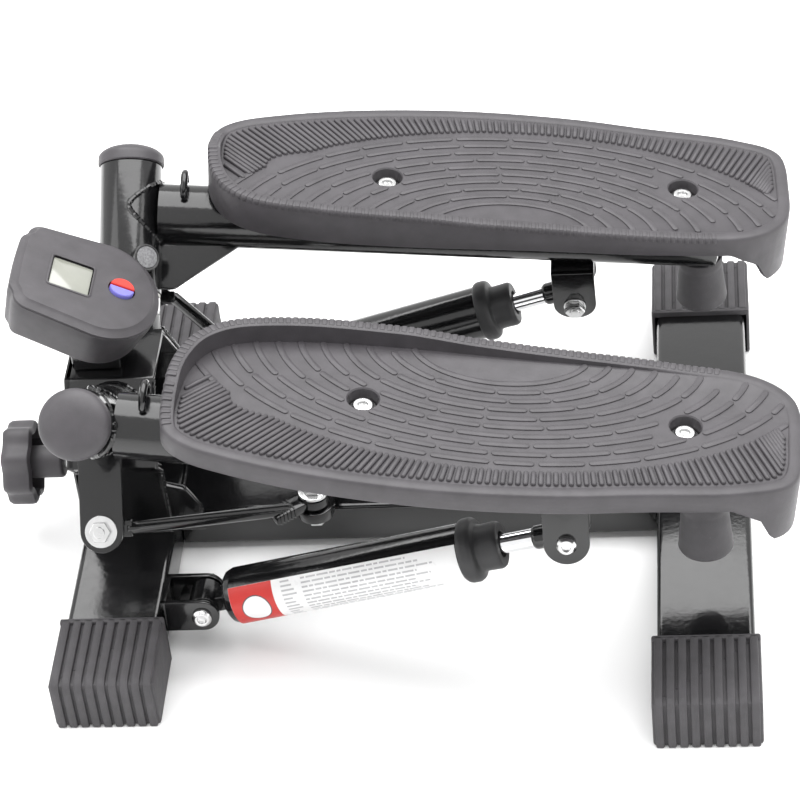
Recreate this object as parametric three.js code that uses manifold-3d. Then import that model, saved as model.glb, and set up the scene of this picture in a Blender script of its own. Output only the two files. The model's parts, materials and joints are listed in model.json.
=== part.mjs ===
// Twist stepper: a low floor frame carries two inclined pivots. Each pivot holds a swinging arm with
// a pedal on it. A rocker and two tie rods make the arms move in opposite ways, and a damper brakes
// each arm. Units are millimetres. +Z is up, +X points from the console to the heel end, and the left
// side (the user's left, facing the console) is at -Y.
import * as THREE from 'three';
import { mergeVertices } from 'three/addons/utils/BufferGeometryUtils.js';
import Module from 'manifold-3d';

const wasm = await Module();
wasm.setup();

// ---- driving dimensions ----
const CENTRE_X = 145.57; // middle of the whole length, measured from the front crossbar
const GAP = 0.3; // clearance between touching pieces
const ROUND = 20; // facets of a large round piece
const SMALL_ROUND = 10; // facets of a fastener

const BASE_LENGTH = 310; // front crossbar centre to rear crossbar centre
const BAR_WIDTH = 50;
const BAR_HEIGHT = 25;
const BAR_WALL = 1.5;
const BAR_BOTTOM = 3.3; // the rubber caps lift the bars this far
const BAR_TOP = BAR_BOTTOM + BAR_HEIGHT;
const BEAM_WIDTH = 48;
const FRONT_HALF = 155;
const REAR_HALF = 177;
const CAP_WIDTH = 55.5;
const CAP_HEIGHT = 31.5;
const CAP_DEPTH = 50;
const CAP_END = 4; // rubber in front of the bar's end

const PIVOT = new THREE.Vector3(2, -87.7, 148.4); // left sleeve axis where the arm meets it
const PIVOT_TILT = THREE.MathUtils.degToRad(52); // sleeve axis from the vertical, outward
const ARM_DROP = -0.1220; // arm's fall per unit of X
const ARM_SPLAY = -0.0359; // left arm's outward run per unit of X
const TUBE_R = 17;
const TUBE_WALL = 1.7;
const SLEEVE_TOP = 26;
const SLEEVE_BOTTOM = -46;
const COLLAR_BOTTOM = -58; // spindle collar under the sleeve
const ROOF_DEPTH = -70; // bracket's inclined face, along the sleeve axis
const SPINDLE_R = 8;
const ARM_LENGTH = 322;
const EAR_REACH = 58; // tie rod bolt from the sleeve axis
const EAR_LEVEL = -31; // ear plate's inner face along the sleeve axis
const EAR_PLATE = 4;
const EAR_WIDTH = 22.5;

const FRONT_BOLT = 140.1; // pedal bolts, along the arm
const REAR_BOLT = 300.4;
const TREAD_TOP = 31.5; // above the arm's axis
const TREAD_THICK = 5;
const SKIRT_BOTTOM = 17.6;
const SKIRT_WALL = 3.5;
const RIDGE_WIDTH = 7;
const BOLT_HEAD_TOP = 27.9;
const RECESS_FLOOR = 23.2;
const APRON_BOTTOM = -1.5;

const ROCKER = new THREE.Vector3(102, 0, 0);
const ROCKER_REACH = 32.5;
const ROCKER_BOTTOM = 32.3;
const ROCKER_THICK = 7;
const EYE_LEVEL = ROCKER_BOTTOM + ROCKER_THICK + 0.9;
const EYE_THICK = 6;

const DAMPER_BASE = new THREE.Vector3(47, -92, 25); // left damper's lower and upper pivots
const DAMPER_TOP = new THREE.Vector3(241.5, -100.7, 76.7);
const CLEVIS_TILT = THREE.MathUtils.degToRad(8);
const LUG_TILT = THREE.MathUtils.degToRad(13);
const CLEVIS_GAP = 10.5; // half the space between two plates
const CLEVIS_PLATE = 3;
const BARREL_R = 15;
const EYE_WIDTH = 18;

const ADJUSTER_Z = 46;
const STUD_R = 4;
const CONSOLE = new THREE.Vector3(0, 0, 168);
const CONSOLE_TILT = THREE.MathUtils.degToRad(27);

const X_AXIS = new THREE.Vector3(1, 0, 0);
const Y_AXIS = new THREE.Vector3(0, 1, 0);
const Z_AXIS = new THREE.Vector3(0, 0, 1);

// ---- materials ----
const finish = (color, roughness, metalness) =>
  new THREE.MeshStandardMaterial({ color, roughness, metalness });
const gloss_paint = finish(0x18181a, 0.18, 0.3);
const rubber = finish(0x4b494c, 0.8, 0);
const plastic = finish(0x454347, 0.6, 0);
const zinc = finish(0xc9ccd0, 0.3, 1);
const chrome = finish(0xdde0e4, 0.08, 1);
const nylon = finish(0xd8d8d2, 0.5, 0);
const glass = finish(0xaab39a, 0.2, 0);
const board = finish(0x2f6b3c, 0.6, 0);
const red = finish(0xe2463f, 0.4, 0);
const blue = finish(0x8d87dc, 0.4, 0);
const magnet_grey = finish(0x77777a, 0.7, 0.2);

// ---- geometry helpers ----
// Keeps positions only, merges shared corners and drops triangles that have no area.
function closed(geometry) {
  if (geometry.index && !geometry.attributes.normal) return geometry.clone();
  const bare = geometry.clone();
  bare.deleteAttribute('normal');
  bare.deleteAttribute('uv');
  const joined = mergeVertices(bare, 1e-4);
  const kept = [];
  const index = joined.index.array;
  for (let i = 0; i < index.length; i += 3) {
    const [a, b, c] = [index[i], index[i + 1], index[i + 2]];
    if (a !== b && b !== c && c !== a) kept.push(a, b, c);
  }
  joined.setIndex(kept);
  return joined;
}

function toSolid(geometry) {
  const mesh = closed(geometry);
  const vertProperties = new Float32Array(mesh.attributes.position.array);
  const triVerts = new Uint32Array(mesh.index.array);
  return new wasm.Manifold(new wasm.Mesh({ numProp: 3, vertProperties, triVerts }));
}

function toGeometry(solid) {
  const { numProp, vertProperties, triVerts } = solid.getMesh();
  const positions = new Float32Array((vertProperties.length / numProp) * 3);
  for (let i = 0; i < positions.length / 3; i++) {
    positions.set(vertProperties.subarray(i * numProp, i * numProp + 3), i * 3);
  }
  const geometry = new THREE.BufferGeometry();
  geometry.setAttribute('position', new THREE.BufferAttribute(positions, 3));
  geometry.setIndex([...triVerts]);
  return geometry;
}

const join = (...parts) => toGeometry(parts.map(toSolid).reduce((sum, part) => sum.add(part)));
const cut = (base, ...tools) =>
  toGeometry(tools.map(toSolid).reduce((left, tool) => left.subtract(tool), toSolid(base)));
const common = (a, b) => toGeometry(toSolid(a).intersect(toSolid(b)));

// Frame with its own z along the given axis and its own x as near as possible to the hint.
function frame(origin, zAxis, xHint = X_AXIS) {
  const z = zAxis.clone().normalize();
  const x = xHint.clone().addScaledVector(z, -xHint.dot(z)).normalize();
  const y = z.clone().cross(x);
  return new THREE.Matrix4().makeBasis(x, y, z).setPosition(origin);
}

const placed = (geometry, matrix) => geometry.clone().applyMatrix4(matrix);

// Mirror image through the XZ plane, with the faces turned back outward.
function mirrored(geometry) {
  const copy = closed(geometry);
  copy.scale(1, -1, 1);
  const index = copy.index.array;
  for (let i = 0; i < index.length; i += 3) [index[i], index[i + 1]] = [index[i + 1], index[i]];
  return copy;
}

// Solid of revolution about z; the profile is a list of [radius, z], going up on the outside.
function turned(profile, facets = ROUND) {
  const points = profile.map(([r, z]) => new THREE.Vector2(r, z));
  if (profile[0][0] > 0) points.push(points[0].clone());
  return new THREE.LatheGeometry(points, facets).rotateX(Math.PI / 2);
}

const disc = (r, z0, z1, facets = ROUND) => turned([[0, z0], [r, z0], [r, z1], [0, z1]], facets);

function block(x0, x1, y0, y1, z0, z1) {
  const box = new THREE.BoxGeometry(x1 - x0, y1 - y0, z1 - z0);
  return box.translate((x0 + x1) / 2, (y0 + y1) / 2, (z0 + z1) / 2);
}

// Outline in local x and y, given thickness from z0 to z1.
function plate(outline, z0, z1, curveSegments = 5) {
  const shape = outline instanceof THREE.Shape ? outline : new THREE.Shape(outline);
  const options = { depth: z1 - z0, bevelEnabled: false, curveSegments };
  return new THREE.ExtrudeGeometry(shape, options).translate(0, 0, z0);
}

const polygon = (pairs) => pairs.map(([x, y]) => new THREE.Vector2(x, y));

// Rectangle centred on the origin with rounded corners.
function roundedRect(width, height, radius) {
  const [w, h] = [width / 2 - radius, height / 2 - radius];
  const shape = new THREE.Shape();
  shape.absarc(w, h, radius, 0, Math.PI / 2);
  shape.absarc(-w, h, radius, Math.PI / 2, Math.PI);
  shape.absarc(-w, -h, radius, Math.PI, Math.PI * 1.5);
  shape.absarc(w, -h, radius, Math.PI * 1.5, Math.PI * 2);
  return shape;
}

// Strip that starts at y = start and ends in a half circle round the origin.
function tongue(width, start) {
  const r = width / 2;
  const shape = new THREE.Shape();
  shape.moveTo(-r, start);
  if (start > 0) shape.absarc(0, 0, r, Math.PI, Math.PI * 2);
  else shape.absarc(0, 0, r, Math.PI, 0, true);
  shape.lineTo(r, start);
  return shape;
}

// ---- frames of the left side; the right side is the mirror image ----
const pivotAxis = new THREE.Vector3(0, -Math.sin(PIVOT_TILT), Math.cos(PIVOT_TILT));
const armAxis = new THREE.Vector3(1, ARM_SPLAY, ARM_DROP).normalize();
const pivotFrame = frame(PIVOT, pivotAxis);
const armUp = Z_AXIS.clone().addScaledVector(armAxis, -armAxis.z).normalize();
const armFrame = frame(PIVOT, armUp, armAxis);
const alongArm = frame(PIVOT, armAxis, Z_AXIS); // own z runs along the arm
const boltAxis = (tilt) => new THREE.Vector3(0, -Math.cos(tilt), Math.sin(tilt));
const clevisFrame = frame(DAMPER_BASE, boltAxis(CLEVIS_TILT));
const lugFrame = frame(DAMPER_TOP, boltAxis(LUG_TILT));
const damperAxis = DAMPER_TOP.clone().sub(DAMPER_BASE);
const damperLength = damperAxis.length();
const damperFrame = frame(DAMPER_BASE, damperAxis);
const rodFrame = frame(DAMPER_TOP, damperAxis.clone().negate());
const earBolt = new THREE.Vector3(0, -EAR_REACH, 0).applyMatrix4(pivotFrame);
const adjusterFrame = frame(new THREE.Vector3(0, 0, ADJUSTER_Z), X_AXIS, Y_AXIS);
const consoleAxis = new THREE.Vector3(Math.sin(CONSOLE_TILT), 0, Math.cos(CONSOLE_TILT));
const consoleFrame = frame(CONSOLE, consoleAxis);

const sleeveSpace = placed(disc(TUBE_R + GAP, -90, 90), pivotFrame);
const armSpace = placed(disc(TUBE_R + GAP, -40, 400), alongArm);

// ---- base ----
// Rectangular tube of half length `half` along its own z.
function boxTube(width, height, half) {
  const outer = plate(roundedRect(width, height, 3), -half, half, 3);
  const bore = plate(roundedRect(width - 2 * BAR_WALL, height - 2 * BAR_WALL, 2), -half - 1, half + 1, 2);
  return cut(outer, bore);
}

function crossbar(x, half) {
  const centre = new THREE.Vector3(x, 0, BAR_BOTTOM + BAR_HEIGHT / 2);
  return placed(boxTube(BAR_WIDTH, BAR_HEIGHT, half), frame(centre, Y_AXIS));
}

function mainBeam() {
  const half = (BASE_LENGTH - BAR_WIDTH) / 2 - GAP;
  const centre = new THREE.Vector3(BASE_LENGTH / 2, 0, BAR_BOTTOM + BAR_HEIGHT / 2);
  return placed(boxTube(BEAM_WIDTH, BAR_HEIGHT, half), frame(centre, X_AXIS, Y_AXIS));
}

// Rubber cap over the left end of a crossbar.
function footCap(x, half) {
  const centre = new THREE.Vector3(x, 0, CAP_HEIGHT / 2);
  const end = half + CAP_END;
  const turn = frame(centre, new THREE.Vector3(0, -1, 0));
  const shell = placed(plate(roundedRect(CAP_WIDTH, CAP_HEIGHT, 3), end - CAP_DEPTH, end, 2), turn);
  const pocket = block(x - BAR_WIDTH / 2 - GAP, x + BAR_WIDTH / 2 + GAP, -half - GAP, CAP_DEPTH - half,
    BAR_BOTTOM - GAP, BAR_TOP + GAP);
  return cut(shell, pocket);
}

// House-shaped welded bracket whose inclined faces carry the pivot spindles.
function pivotBracket() {
  const depth = 24;
  const wall = 3.5;
  const foot = BAR_TOP + GAP;
  const half = [[40, foot], [40, 72], [50, 83], [20.3, 121]];
  const inner = [[40 - wall, foot - 5], [40 - wall, 73.5], [45.2, 83.5], [18.7, 121 - wall]];
  const both = (side) => polygon([...side, ...side.map(([y, z]) => [-y, z]).reverse()]);
  const turn = frame(new THREE.Vector3(), X_AXIS, Y_AXIS);
  const shell = placed(plate(both(half), -depth, depth), turn);
  const room = placed(plate(both(inner), wall - depth, depth + 1), turn);
  const boss = placed(disc(TUBE_R, ROOF_DEPTH - 3, COLLAR_BOTTOM - GAP), pivotFrame);
  const nut = placed(disc(8, -32, -depth + 1, 6), adjusterFrame);
  const cheekOutline = [[depth - 2, foot], [42, foot], [42, 44], [34, 58], [depth - 2, 62]];
  const cheekTurn = frame(new THREE.Vector3(), new THREE.Vector3(0, -1, 0));
  const cheek = placed(plate(polygon(cheekOutline), 36, 39.5), cheekTurn);
  const stud = placed(disc(STUD_R + 0.35, -40, 0), adjusterFrame);
  const hollow = cut(shell, room);
  return cut(join(hollow, boss, mirrored(boss), nut, cheek, mirrored(cheek)), stud, room);
}

const spindle = () => placed(turned([
  [0, COLLAR_BOTTOM], [16.5, COLLAR_BOTTOM], [16.5, -48.4], [SPINDLE_R, -48.4], [SPINDLE_R, 18.2],
  [12, 18.2], [12, 20.2], [7.5, 20.2], [7.5, 26], [0, 26],
]), pivotFrame);

// Two round-ended plates with a back plate, open towards +X; own z is the bolt's axis.
function baseClevis() {
  const back = BAR_WIDTH / 2 + GAP - DAMPER_BASE.x;
  const outer = CLEVIS_GAP + CLEVIS_PLATE;
  const ear = plate(tongue(18, back), -outer, outer, 6).rotateZ(-Math.PI / 2);
  const space = block(back + CLEVIS_PLATE, 20, -12, 12, -CLEVIS_GAP, CLEVIS_GAP);
  const hole = disc(3.3, -outer - 1, outer + 1, SMALL_ROUND);
  return placed(cut(ear, space, hole), clevisFrame);
}

// Bolt through a gap of the given half width, with a button head outside and a nut inside.
function crossBolt(halfWidth, headR = 5) {
  const face = halfWidth + GAP;
  return turned([
    [0, -face - 6.5], [3, -face - 6.5], [3, -face - 5], [5.4, -face - 5], [5.4, -face], [3, -face],
    [3, face], [headR, face], [headR, face + 2.2], [headR - 1.6, face + 3.6], [0, face + 3.6],
  ], SMALL_ROUND);
}

// ---- arm assembly, left side ----
const sleeve = () => placed(turned([
  [TUBE_R, SLEEVE_BOTTOM], [TUBE_R, SLEEVE_TOP], [15.3, SLEEVE_TOP], [15.3, SLEEVE_BOTTOM],
]), pivotFrame);

const bush = () => placed(turned([
  [8.3, -48.1], [16.6, -48.1], [16.6, -46.3], [14.8, -46.3], [14.8, 17.9], [8.3, 17.9],
]), pivotFrame);

const sleeveCap = () => placed(turned([
  [0, 27.6], [13, 27.6], [13, 20.5], [14.8, 20.5], [14.8, SLEEVE_TOP + GAP],
  [18.15, SLEEVE_TOP + GAP], [18.15, 30.5], [15.6, 34.5], [9, 37], [0, 37.7],
]), pivotFrame);

// Arm tube with its rear end closed, coped round the sleeve, and the gusset welded under it.
function armTube() {
  const bore = TUBE_R - TUBE_WALL;
  const tube = turned([
    [bore, 8], [TUBE_R, 8], [TUBE_R, ARM_LENGTH], [0, ARM_LENGTH], [0, ARM_LENGTH - 3],
    [bore, ARM_LENGTH - 3],
  ]);
  const gussetOutline = polygon([[12, -42], [26, -42], [61, -16.2], [12, -16.2]]);
  const gussetTurn = frame(PIVOT, pivotAxis.clone().cross(armAxis).negate(), armAxis);
  const gusset = placed(plate(gussetOutline, -2, 2), gussetTurn);
  const holes = [FRONT_BOLT, REAR_BOLT].map((x) => disc(3.4, 5, 40, SMALL_ROUND).translate(x, 0, 0));
  const drills = holes.map((hole) => placed(hole, armFrame));
  return cut(join(placed(tube, alongArm), gusset), sleeveSpace, ...drills);
}

// U of round wire welded on the arm, for a resistance band.
function bandHook() {
  const path = new THREE.CurvePath();
  const [foot, top, half] = [12, 21, 7];
  const at = (y, z) => new THREE.Vector3(30, y, z);
  path.add(new THREE.LineCurve3(at(-half, foot), at(-half, top)));
  path.add(new THREE.CubicBezierCurve3(at(-half, top), at(-half, top + 9), at(half, top + 9), at(half, top)));
  path.add(new THREE.LineCurve3(at(half, top), at(half, foot)));
  const wire = new THREE.Shape().absarc(0, 0, 2, 0, Math.PI * 2);
  const options = { steps: 12, bevelEnabled: false, curveSegments: 4, extrudePath: path };
  return cut(placed(new THREE.ExtrudeGeometry(wire, options), armFrame), armSpace);
}

// Plate across the sleeve that carries the tie rod's bolt.
function tieEar() {
  const outline = tongue(EAR_WIDTH, EAR_REACH - 8);
  const ear = plate(outline, EAR_LEVEL, EAR_LEVEL + EAR_PLATE, 8).translate(0, -EAR_REACH, 0);
  const hole = disc(3.3, EAR_LEVEL - 2, EAR_LEVEL + 8, SMALL_ROUND).translate(0, -EAR_REACH, 0);
  return cut(placed(cut(ear, hole), pivotFrame), sleeveSpace);
}

function earFastener() {
  const top = EAR_LEVEL + EAR_PLATE + GAP;
  const bolt = turned([
    [0, -42], [5, -42], [5, -38], [3, -38], [3, top], [8.4, top], [8.4, top + 1.5], [5.4, top + 1.5],
    [5.4, top + 6.3], [3, top + 6.3], [3, top + 7.8], [0, top + 7.8],
  ], SMALL_ROUND);
  return placed(bolt.translate(0, -EAR_REACH, 0), pivotFrame);
}

// Fork under the arm that holds the damper's rod end.
function damperLug() {
  const outer = CLEVIS_GAP + CLEVIS_PLATE;
  const body = plate(tongue(23.6, 30), -outer, outer, 8);
  const space = block(-20, 20, -20, 20.5, -CLEVIS_GAP, CLEVIS_GAP);
  const hole = disc(3.3, -outer - 1, outer + 1, SMALL_ROUND);
  const fork = placed(cut(body, space, hole), lugFrame);
  return cut(fork, armSpace);
}

// Outline of a pedal's tread: x runs from the front bolt towards the heel, y outward.
const PEDAL_OUTLINE = [
  [-98, 8], [-95.5, -11], [-87.5, -28], [-72, -39.5], [-36, -46.5], [10, -48.5], [80, -47.5], [150, -47],
  [196, -42], [214, -27], [218, 5], [214, 36], [190, 47], [142, 54.5], [100, 61], [40, 64.5], [-20, 61],
  [-62, 53.5], [-84, 46.5], [-94.5, 38], [-98, 26],
];

function pedalOutline(inset = 0) {
  const points = PEDAL_OUTLINE.map(([x, y]) => new THREE.Vector3(x + FRONT_BOLT, -y, 0));
  const loop = new THREE.CatmullRomCurve3(points.reverse(), true, 'centripetal').getPoints(36).slice(0, -1);
  return loop.map((point, i) => {
    const ahead = loop[(i + 1) % loop.length];
    const behind = loop[(i + loop.length - 1) % loop.length];
    const tangent = ahead.clone().sub(behind).normalize();
    return new THREE.Vector2(point.x - tangent.y * inset, point.y + tangent.x * inset);
  });
}

// Tray-shaped pedal: tread, skirt, raised inner ridge round the toe and an apron behind the heel.
function pedal() {
  const side = frame(new THREE.Vector3(), new THREE.Vector3(0, -1, 0));
  const profile = [
    [30, 42.5], [100, 42.5], [160, 40.5], [190, 37.5], [250, 34], [318, TREAD_TOP], [365, TREAD_TOP],
    [365, APRON_BOTTOM], [347, APRON_BOTTOM], [340, 12], [325, SKIRT_BOTTOM], [30, SKIRT_BOTTOM],
  ];
  const outline = plate(pedalOutline(), APRON_BOTTOM - 5, 60);
  const body = common(outline, placed(plate(polygon(profile), -80, 80), side));
  const under = plate(pedalOutline(SKIRT_WALL), APRON_BOTTOM - 10, TREAD_TOP - TREAD_THICK);
  const inside = plate(pedalOutline(RIDGE_WIDTH), TREAD_TOP, 70);
  // the ridge runs out across the toe and ends along the outer edge
  const fall = [[90, TREAD_TOP], [34, TREAD_TOP], [22, TREAD_TOP + 2.5], [-14, 60], [-14, 70], [90, 70]];
  const across = frame(new THREE.Vector3(), new THREE.Vector3(-1, 0, 0), new THREE.Vector3(0, -1, 0));
  const outside = placed(plate(polygon(fall), -400, 0), across);
  const seats = [FRONT_BOLT, REAR_BOLT];
  const bosses = seats.map((x) => disc(11, TUBE_R + 0.35, TREAD_TOP - 4, 14).translate(x, 0, 0));
  const recesses = seats.map((x) => disc(8, RECESS_FLOOR, 60, 14).translate(x, 0, 0));
  const holes = seats.map((x) => disc(3.4, 10, 60, SMALL_ROUND).translate(x, 0, 0));
  const shell = join(cut(body, under, inside, outside), ...bosses);
  return placed(cut(shell, ...recesses, ...holes), armFrame);
}

const pedalBolt = (x) => placed(turned([
  [0, 6], [3, 6], [3, RECESS_FLOOR + GAP], [5.5, RECESS_FLOOR + GAP], [5.5, BOLT_HEAD_TOP - 1], [4.5, BOLT_HEAD_TOP],
  [0, BOLT_HEAD_TOP],
], SMALL_ROUND).translate(x, 0, 0), armFrame);

// Rubber stop under the arm, above the rear crossbar.
function bumper() {
  const top = new THREE.Vector3(312 * armAxis.x, 312 * armAxis.y, 312 * armAxis.z).add(PIVOT);
  const up = new THREE.Vector3(0, 0.074, 0.997);
  const cone = turned([[0, -46], [12.6, -46], [14.2, -43.8], [11.8, -12], [0, -12]], 16);
  return cut(placed(cone, frame(top, up)), armSpace);
}

// ---- linkage ----
function rockerLever() {
  const outline = new THREE.Shape();
  outline.absarc(0, ROCKER_REACH, 10, 0, Math.PI);
  outline.absarc(0, -ROCKER_REACH, 10, Math.PI, Math.PI * 2);
  const bar = plate(outline, ROCKER_BOTTOM, ROCKER_BOTTOM + ROCKER_THICK, 6).translate(ROCKER.x, 0, 0);
  const holes = [-1, 0, 1].map((k) => disc(k === 0 ? 4.3 : 3.3, 20, 60, SMALL_ROUND)
    .translate(ROCKER.x, k * ROCKER_REACH, 0));
  return cut(bar, ...holes);
}

const rockerPivotBolt = () => turned([
  [0, BAR_TOP + GAP], [9, BAR_TOP + GAP], [9, ROCKER_BOTTOM - GAP], [4, ROCKER_BOTTOM - GAP], [4, 39.6],
  [9, 39.6], [9, 41.2], [6.5, 41.2], [6.5, 47], [0, 47],
], SMALL_ROUND).translate(ROCKER.x, 0, 0);

const rockerEndBolt = () => turned([
  [0, 25.5], [3, 25.5], [3, 27], [5.5, 27], [5.5, ROCKER_BOTTOM - GAP], [3, ROCKER_BOTTOM - GAP], [3, 47.1],
  [8.3, 47.1], [8.3, 48.6], [5.4, 48.6], [5.4, 53.4], [0, 53.4],
], SMALL_ROUND).translate(ROCKER.x, -ROCKER_REACH, 0);

// Rod with an eye on the ear's bolt and an eye on the rocker's bolt, each on a short flat tab.
function tieRod() {
  const eyeLevel = EAR_LEVEL - 0.5 - EYE_THICK / 2;
  const rockerEye = new THREE.Vector3(ROCKER.x, -ROCKER_REACH, EYE_LEVEL + EYE_THICK / 2);
  const near = new THREE.Vector3(14, -EAR_REACH + 1, eyeLevel).applyMatrix4(pivotFrame);
  const farFrame = frame(rockerEye, Z_AXIS, near.clone().sub(rockerEye));
  const far = new THREE.Vector3(15, 0, 0).applyMatrix4(farFrame);
  const length = far.distanceTo(near);
  const shaft = placed(disc(3.4, -3, length + 3, SMALL_ROUND), frame(near, far.clone().sub(near)));
  const half = EYE_THICK / 2;
  const earEye = disc(8, eyeLevel - half, eyeLevel + half, 14).translate(0, -EAR_REACH, 0);
  const earTab = block(2, 15, -EAR_REACH - 3.5, -EAR_REACH + 5.5, eyeLevel - half, eyeLevel + half);
  const earHole = disc(3.3, -60, 0, SMALL_ROUND).translate(0, -EAR_REACH, 0);
  const farEnd = join(disc(8.2, -half, half, 14), block(2, 16, -4.5, 4.5, -half, half));
  const farHole = disc(4.3, -20, 20, 14);
  const ends = [placed(earEye, pivotFrame), placed(earTab, pivotFrame), placed(farEnd, farFrame)];
  return cut(join(shaft, ...ends), placed(earHole, pivotFrame), placed(farHole, farFrame));
}

// ---- dampers ----
// Closed end at the base eye, flared head and gland at the rod's end.
function damperCylinder() {
  const barrel = placed(turned([
    [0, 13.5], [10.5, 13.5], [BARREL_R, 17], [BARREL_R, 146], [BARREL_R + 2, 147], [BARREL_R + 2, 156],
    [11.7, 158.5], [11.7, 166.5], [6.9, 166.5], [6.9, 161], [12.5, 160.5], [12.5, 22], [11, 20.5], [0, 20.5],
  ]), damperFrame);
  const neckFrame = frame(DAMPER_BASE, damperAxis, boltAxis(CLEVIS_TILT));
  const neck = placed(block(-4.6, 4.6, -5.4, 5.4, 4.8, 16.5), neckFrame);
  const eye = placed(disc(8.5, -EYE_WIDTH / 2, EYE_WIDTH / 2, 16), clevisFrame);
  const hole = placed(disc(4.4, -EYE_WIDTH, EYE_WIDTH, 14), clevisFrame);
  return cut(join(eye, neck, barrel), hole);
}

function pistonRod() {
  const tail = 130;
  const rod = placed(turned([
    [0, 5], [5.6, 5], [5.6, 18], [5, 18.4], [5, tail - 8], [10.5, tail - 8], [10.5, tail], [0, tail],
  ], 16), rodFrame);
  const eye = placed(disc(9, -EYE_WIDTH / 2, EYE_WIDTH / 2, 14), lugFrame);
  const hole = placed(disc(3.7, -EYE_WIDTH, EYE_WIDTH, 14), lugFrame);
  return cut(join(rod, eye), hole);
}

// ---- step height adjuster ----
function adjusterKnob() {
  const lobes = [];
  const [count, steps, radius, depth] = [8, 32, 22.2, 0.9];
  for (let i = 0; i < steps; i++) {
    const angle = (i / steps) * Math.PI * 2;
    const r = radius + depth * Math.cos(count * angle);
    lobes.push(new THREE.Vector2(r * Math.cos(angle), r * Math.sin(angle)));
  }
  const grip = cut(plate(lobes, -70, -53.5), disc(19, -66, -50));
  return placed(cut(join(grip, disc(9, -67, -38.5)), disc(STUD_R + GAP, -62, -30, 16)), adjusterFrame);
}

const adjusterScrew = () => placed(disc(STUD_R, -61.5, -15, 16), adjusterFrame);

// ---- console ----
// Shield outline, wide at the front and round towards the user; `grow` offsets it.
function consoleOutline(grow) {
  const shape = new THREE.Shape();
  shape.absellipse(2, 0, 27 + grow, 33 + grow, -Math.PI / 2, Math.PI / 2);
  shape.absellipse(-32, 20, 9 + grow, 13 + grow, Math.PI / 2, Math.PI);
  shape.absellipse(-32, -20, 9 + grow, 13 + grow, Math.PI, Math.PI * 1.5);
  return shape.getPoints(5).filter((point, i, all) => i === 0 || point.distanceTo(all[i - 1]) > 0.01);
}

// Closed skin over console outlines stacked at given heights.
function consoleStack(levels) {
  const rings = levels.map(([grow, z]) => consoleOutline(grow).map((p) => new THREE.Vector3(p.x, p.y, z)));
  const count = rings[0].length;
  const points = rings.flat();
  const index = [];
  for (let level = 0; level + 1 < rings.length; level++) {
    for (let i = 0; i < count; i++) {
      const [a, b] = [level * count + i, level * count + ((i + 1) % count)];
      index.push(a, b, b + count, a, b + count, a + count);
    }
  }
  const top = (rings.length - 1) * count;
  for (let i = 1; i + 1 < count; i++) {
    index.push(0, i + 1, i);
    index.push(top, top + i, top + i + 1);
  }
  const geometry = new THREE.BufferGeometry().setFromPoints(points);
  geometry.setIndex(index);
  return geometry;
}

const BUTTON = new THREE.Vector2(11.7, 1.5); // centre of the pair of half-round buttons
const BUTTON_R = 7;
const WINDOW = { x0: -27, x1: -4.6, y0: -12.6, y1: 10.6 };

function consoleHousing() {
  const shell = consoleStack([[-2.5, -28], [0.5, -25], [4.5, -8], [4.5, -4]]);
  const room = consoleStack([[-5, -25.5], [-2, -23], [2, -8], [2, -3]]);
  return placed(cut(shell, room), consoleFrame);
}

function consoleCover() {
  const lid = consoleStack([[4.5, -4 + GAP], [4.5, -3.4], [1.2, -1.6], [0, 0]]);
  const hollow = consoleStack([[-3, -6], [-3, -2.2]]);
  const pane = block(WINDOW.x0, WINDOW.x1, WINDOW.y0, WINDOW.y1, -9, 5);
  const well = disc(BUTTON_R + 0.4, -9, 5, 20).translate(BUTTON.x, BUTTON.y, 0);
  return placed(cut(lid, hollow, pane, well), consoleFrame);
}

function displayWindow() {
  const { x0, x1, y0, y1 } = WINDOW;
  return placed(block(x0 + GAP, x1 - GAP, y0 + GAP, y1 - GAP, -4.5, -1), consoleFrame);
}

const circuitBoard = () => placed(block(-34, 20, -24, 24, -15, -13.4), consoleFrame);

// Half-round key; `side` is +1 for the key away from the user's left and -1 for the other.
function halfButton(side) {
  const outline = new THREE.Shape();
  const inset = 0.25;
  outline.absarc(0, inset, BUTTON_R - inset, 0, Math.PI);
  const cap = plate(outline, -4, 2.2, 10);
  const stem = block(-1.5, 1.5, 1.6, 4.4, -10, -3.9);
  const turn = new THREE.Matrix4().makeRotationZ(side > 0 ? 0 : Math.PI).setPosition(BUTTON.x, BUTTON.y, 0);
  return placed(placed(join(cap, stem), turn), consoleFrame);
}

function consoleStem() {
  const post = block(-20, 6, -14, 14, 121 + GAP, 158);
  const above = placed(block(-90, 90, -60, 60, -28 - GAP, 60), consoleFrame);
  return cut(post, above);
}

// Round magnet holder on the right sleeve, facing the console.
function counterMagnet() {
  const turn = Math.sin(THREE.MathUtils.degToRad(35));
  const lean = Math.cos(THREE.MathUtils.degToRad(35));
  const facing = new THREE.Vector3(turn, lean, 0).transformDirection(pivotFrame);
  const seat = new THREE.Vector3(0, 0, -30).applyMatrix4(pivotFrame);
  const holder = placed(cut(disc(7.4, 14, 23, 20), disc(4, 22.2, 30, 16)), frame(seat, facing));
  return mirrored(cut(holder, sleeveSpace));
}

// ---- assembly ----
const stepper = new THREE.Group();
const assembly = new THREE.Group();
assembly.position.x = -CENTRE_X;
stepper.add(assembly);

function add(name, geometry, material) {
  const part = new THREE.Mesh(closed(geometry), material);
  part.name = name;
  assembly.add(part);
}

function addPair(name, geometry, material) {
  add(`left_${name}`, geometry, material);
  add(`right_${name}`, mirrored(geometry), material);
}

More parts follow.
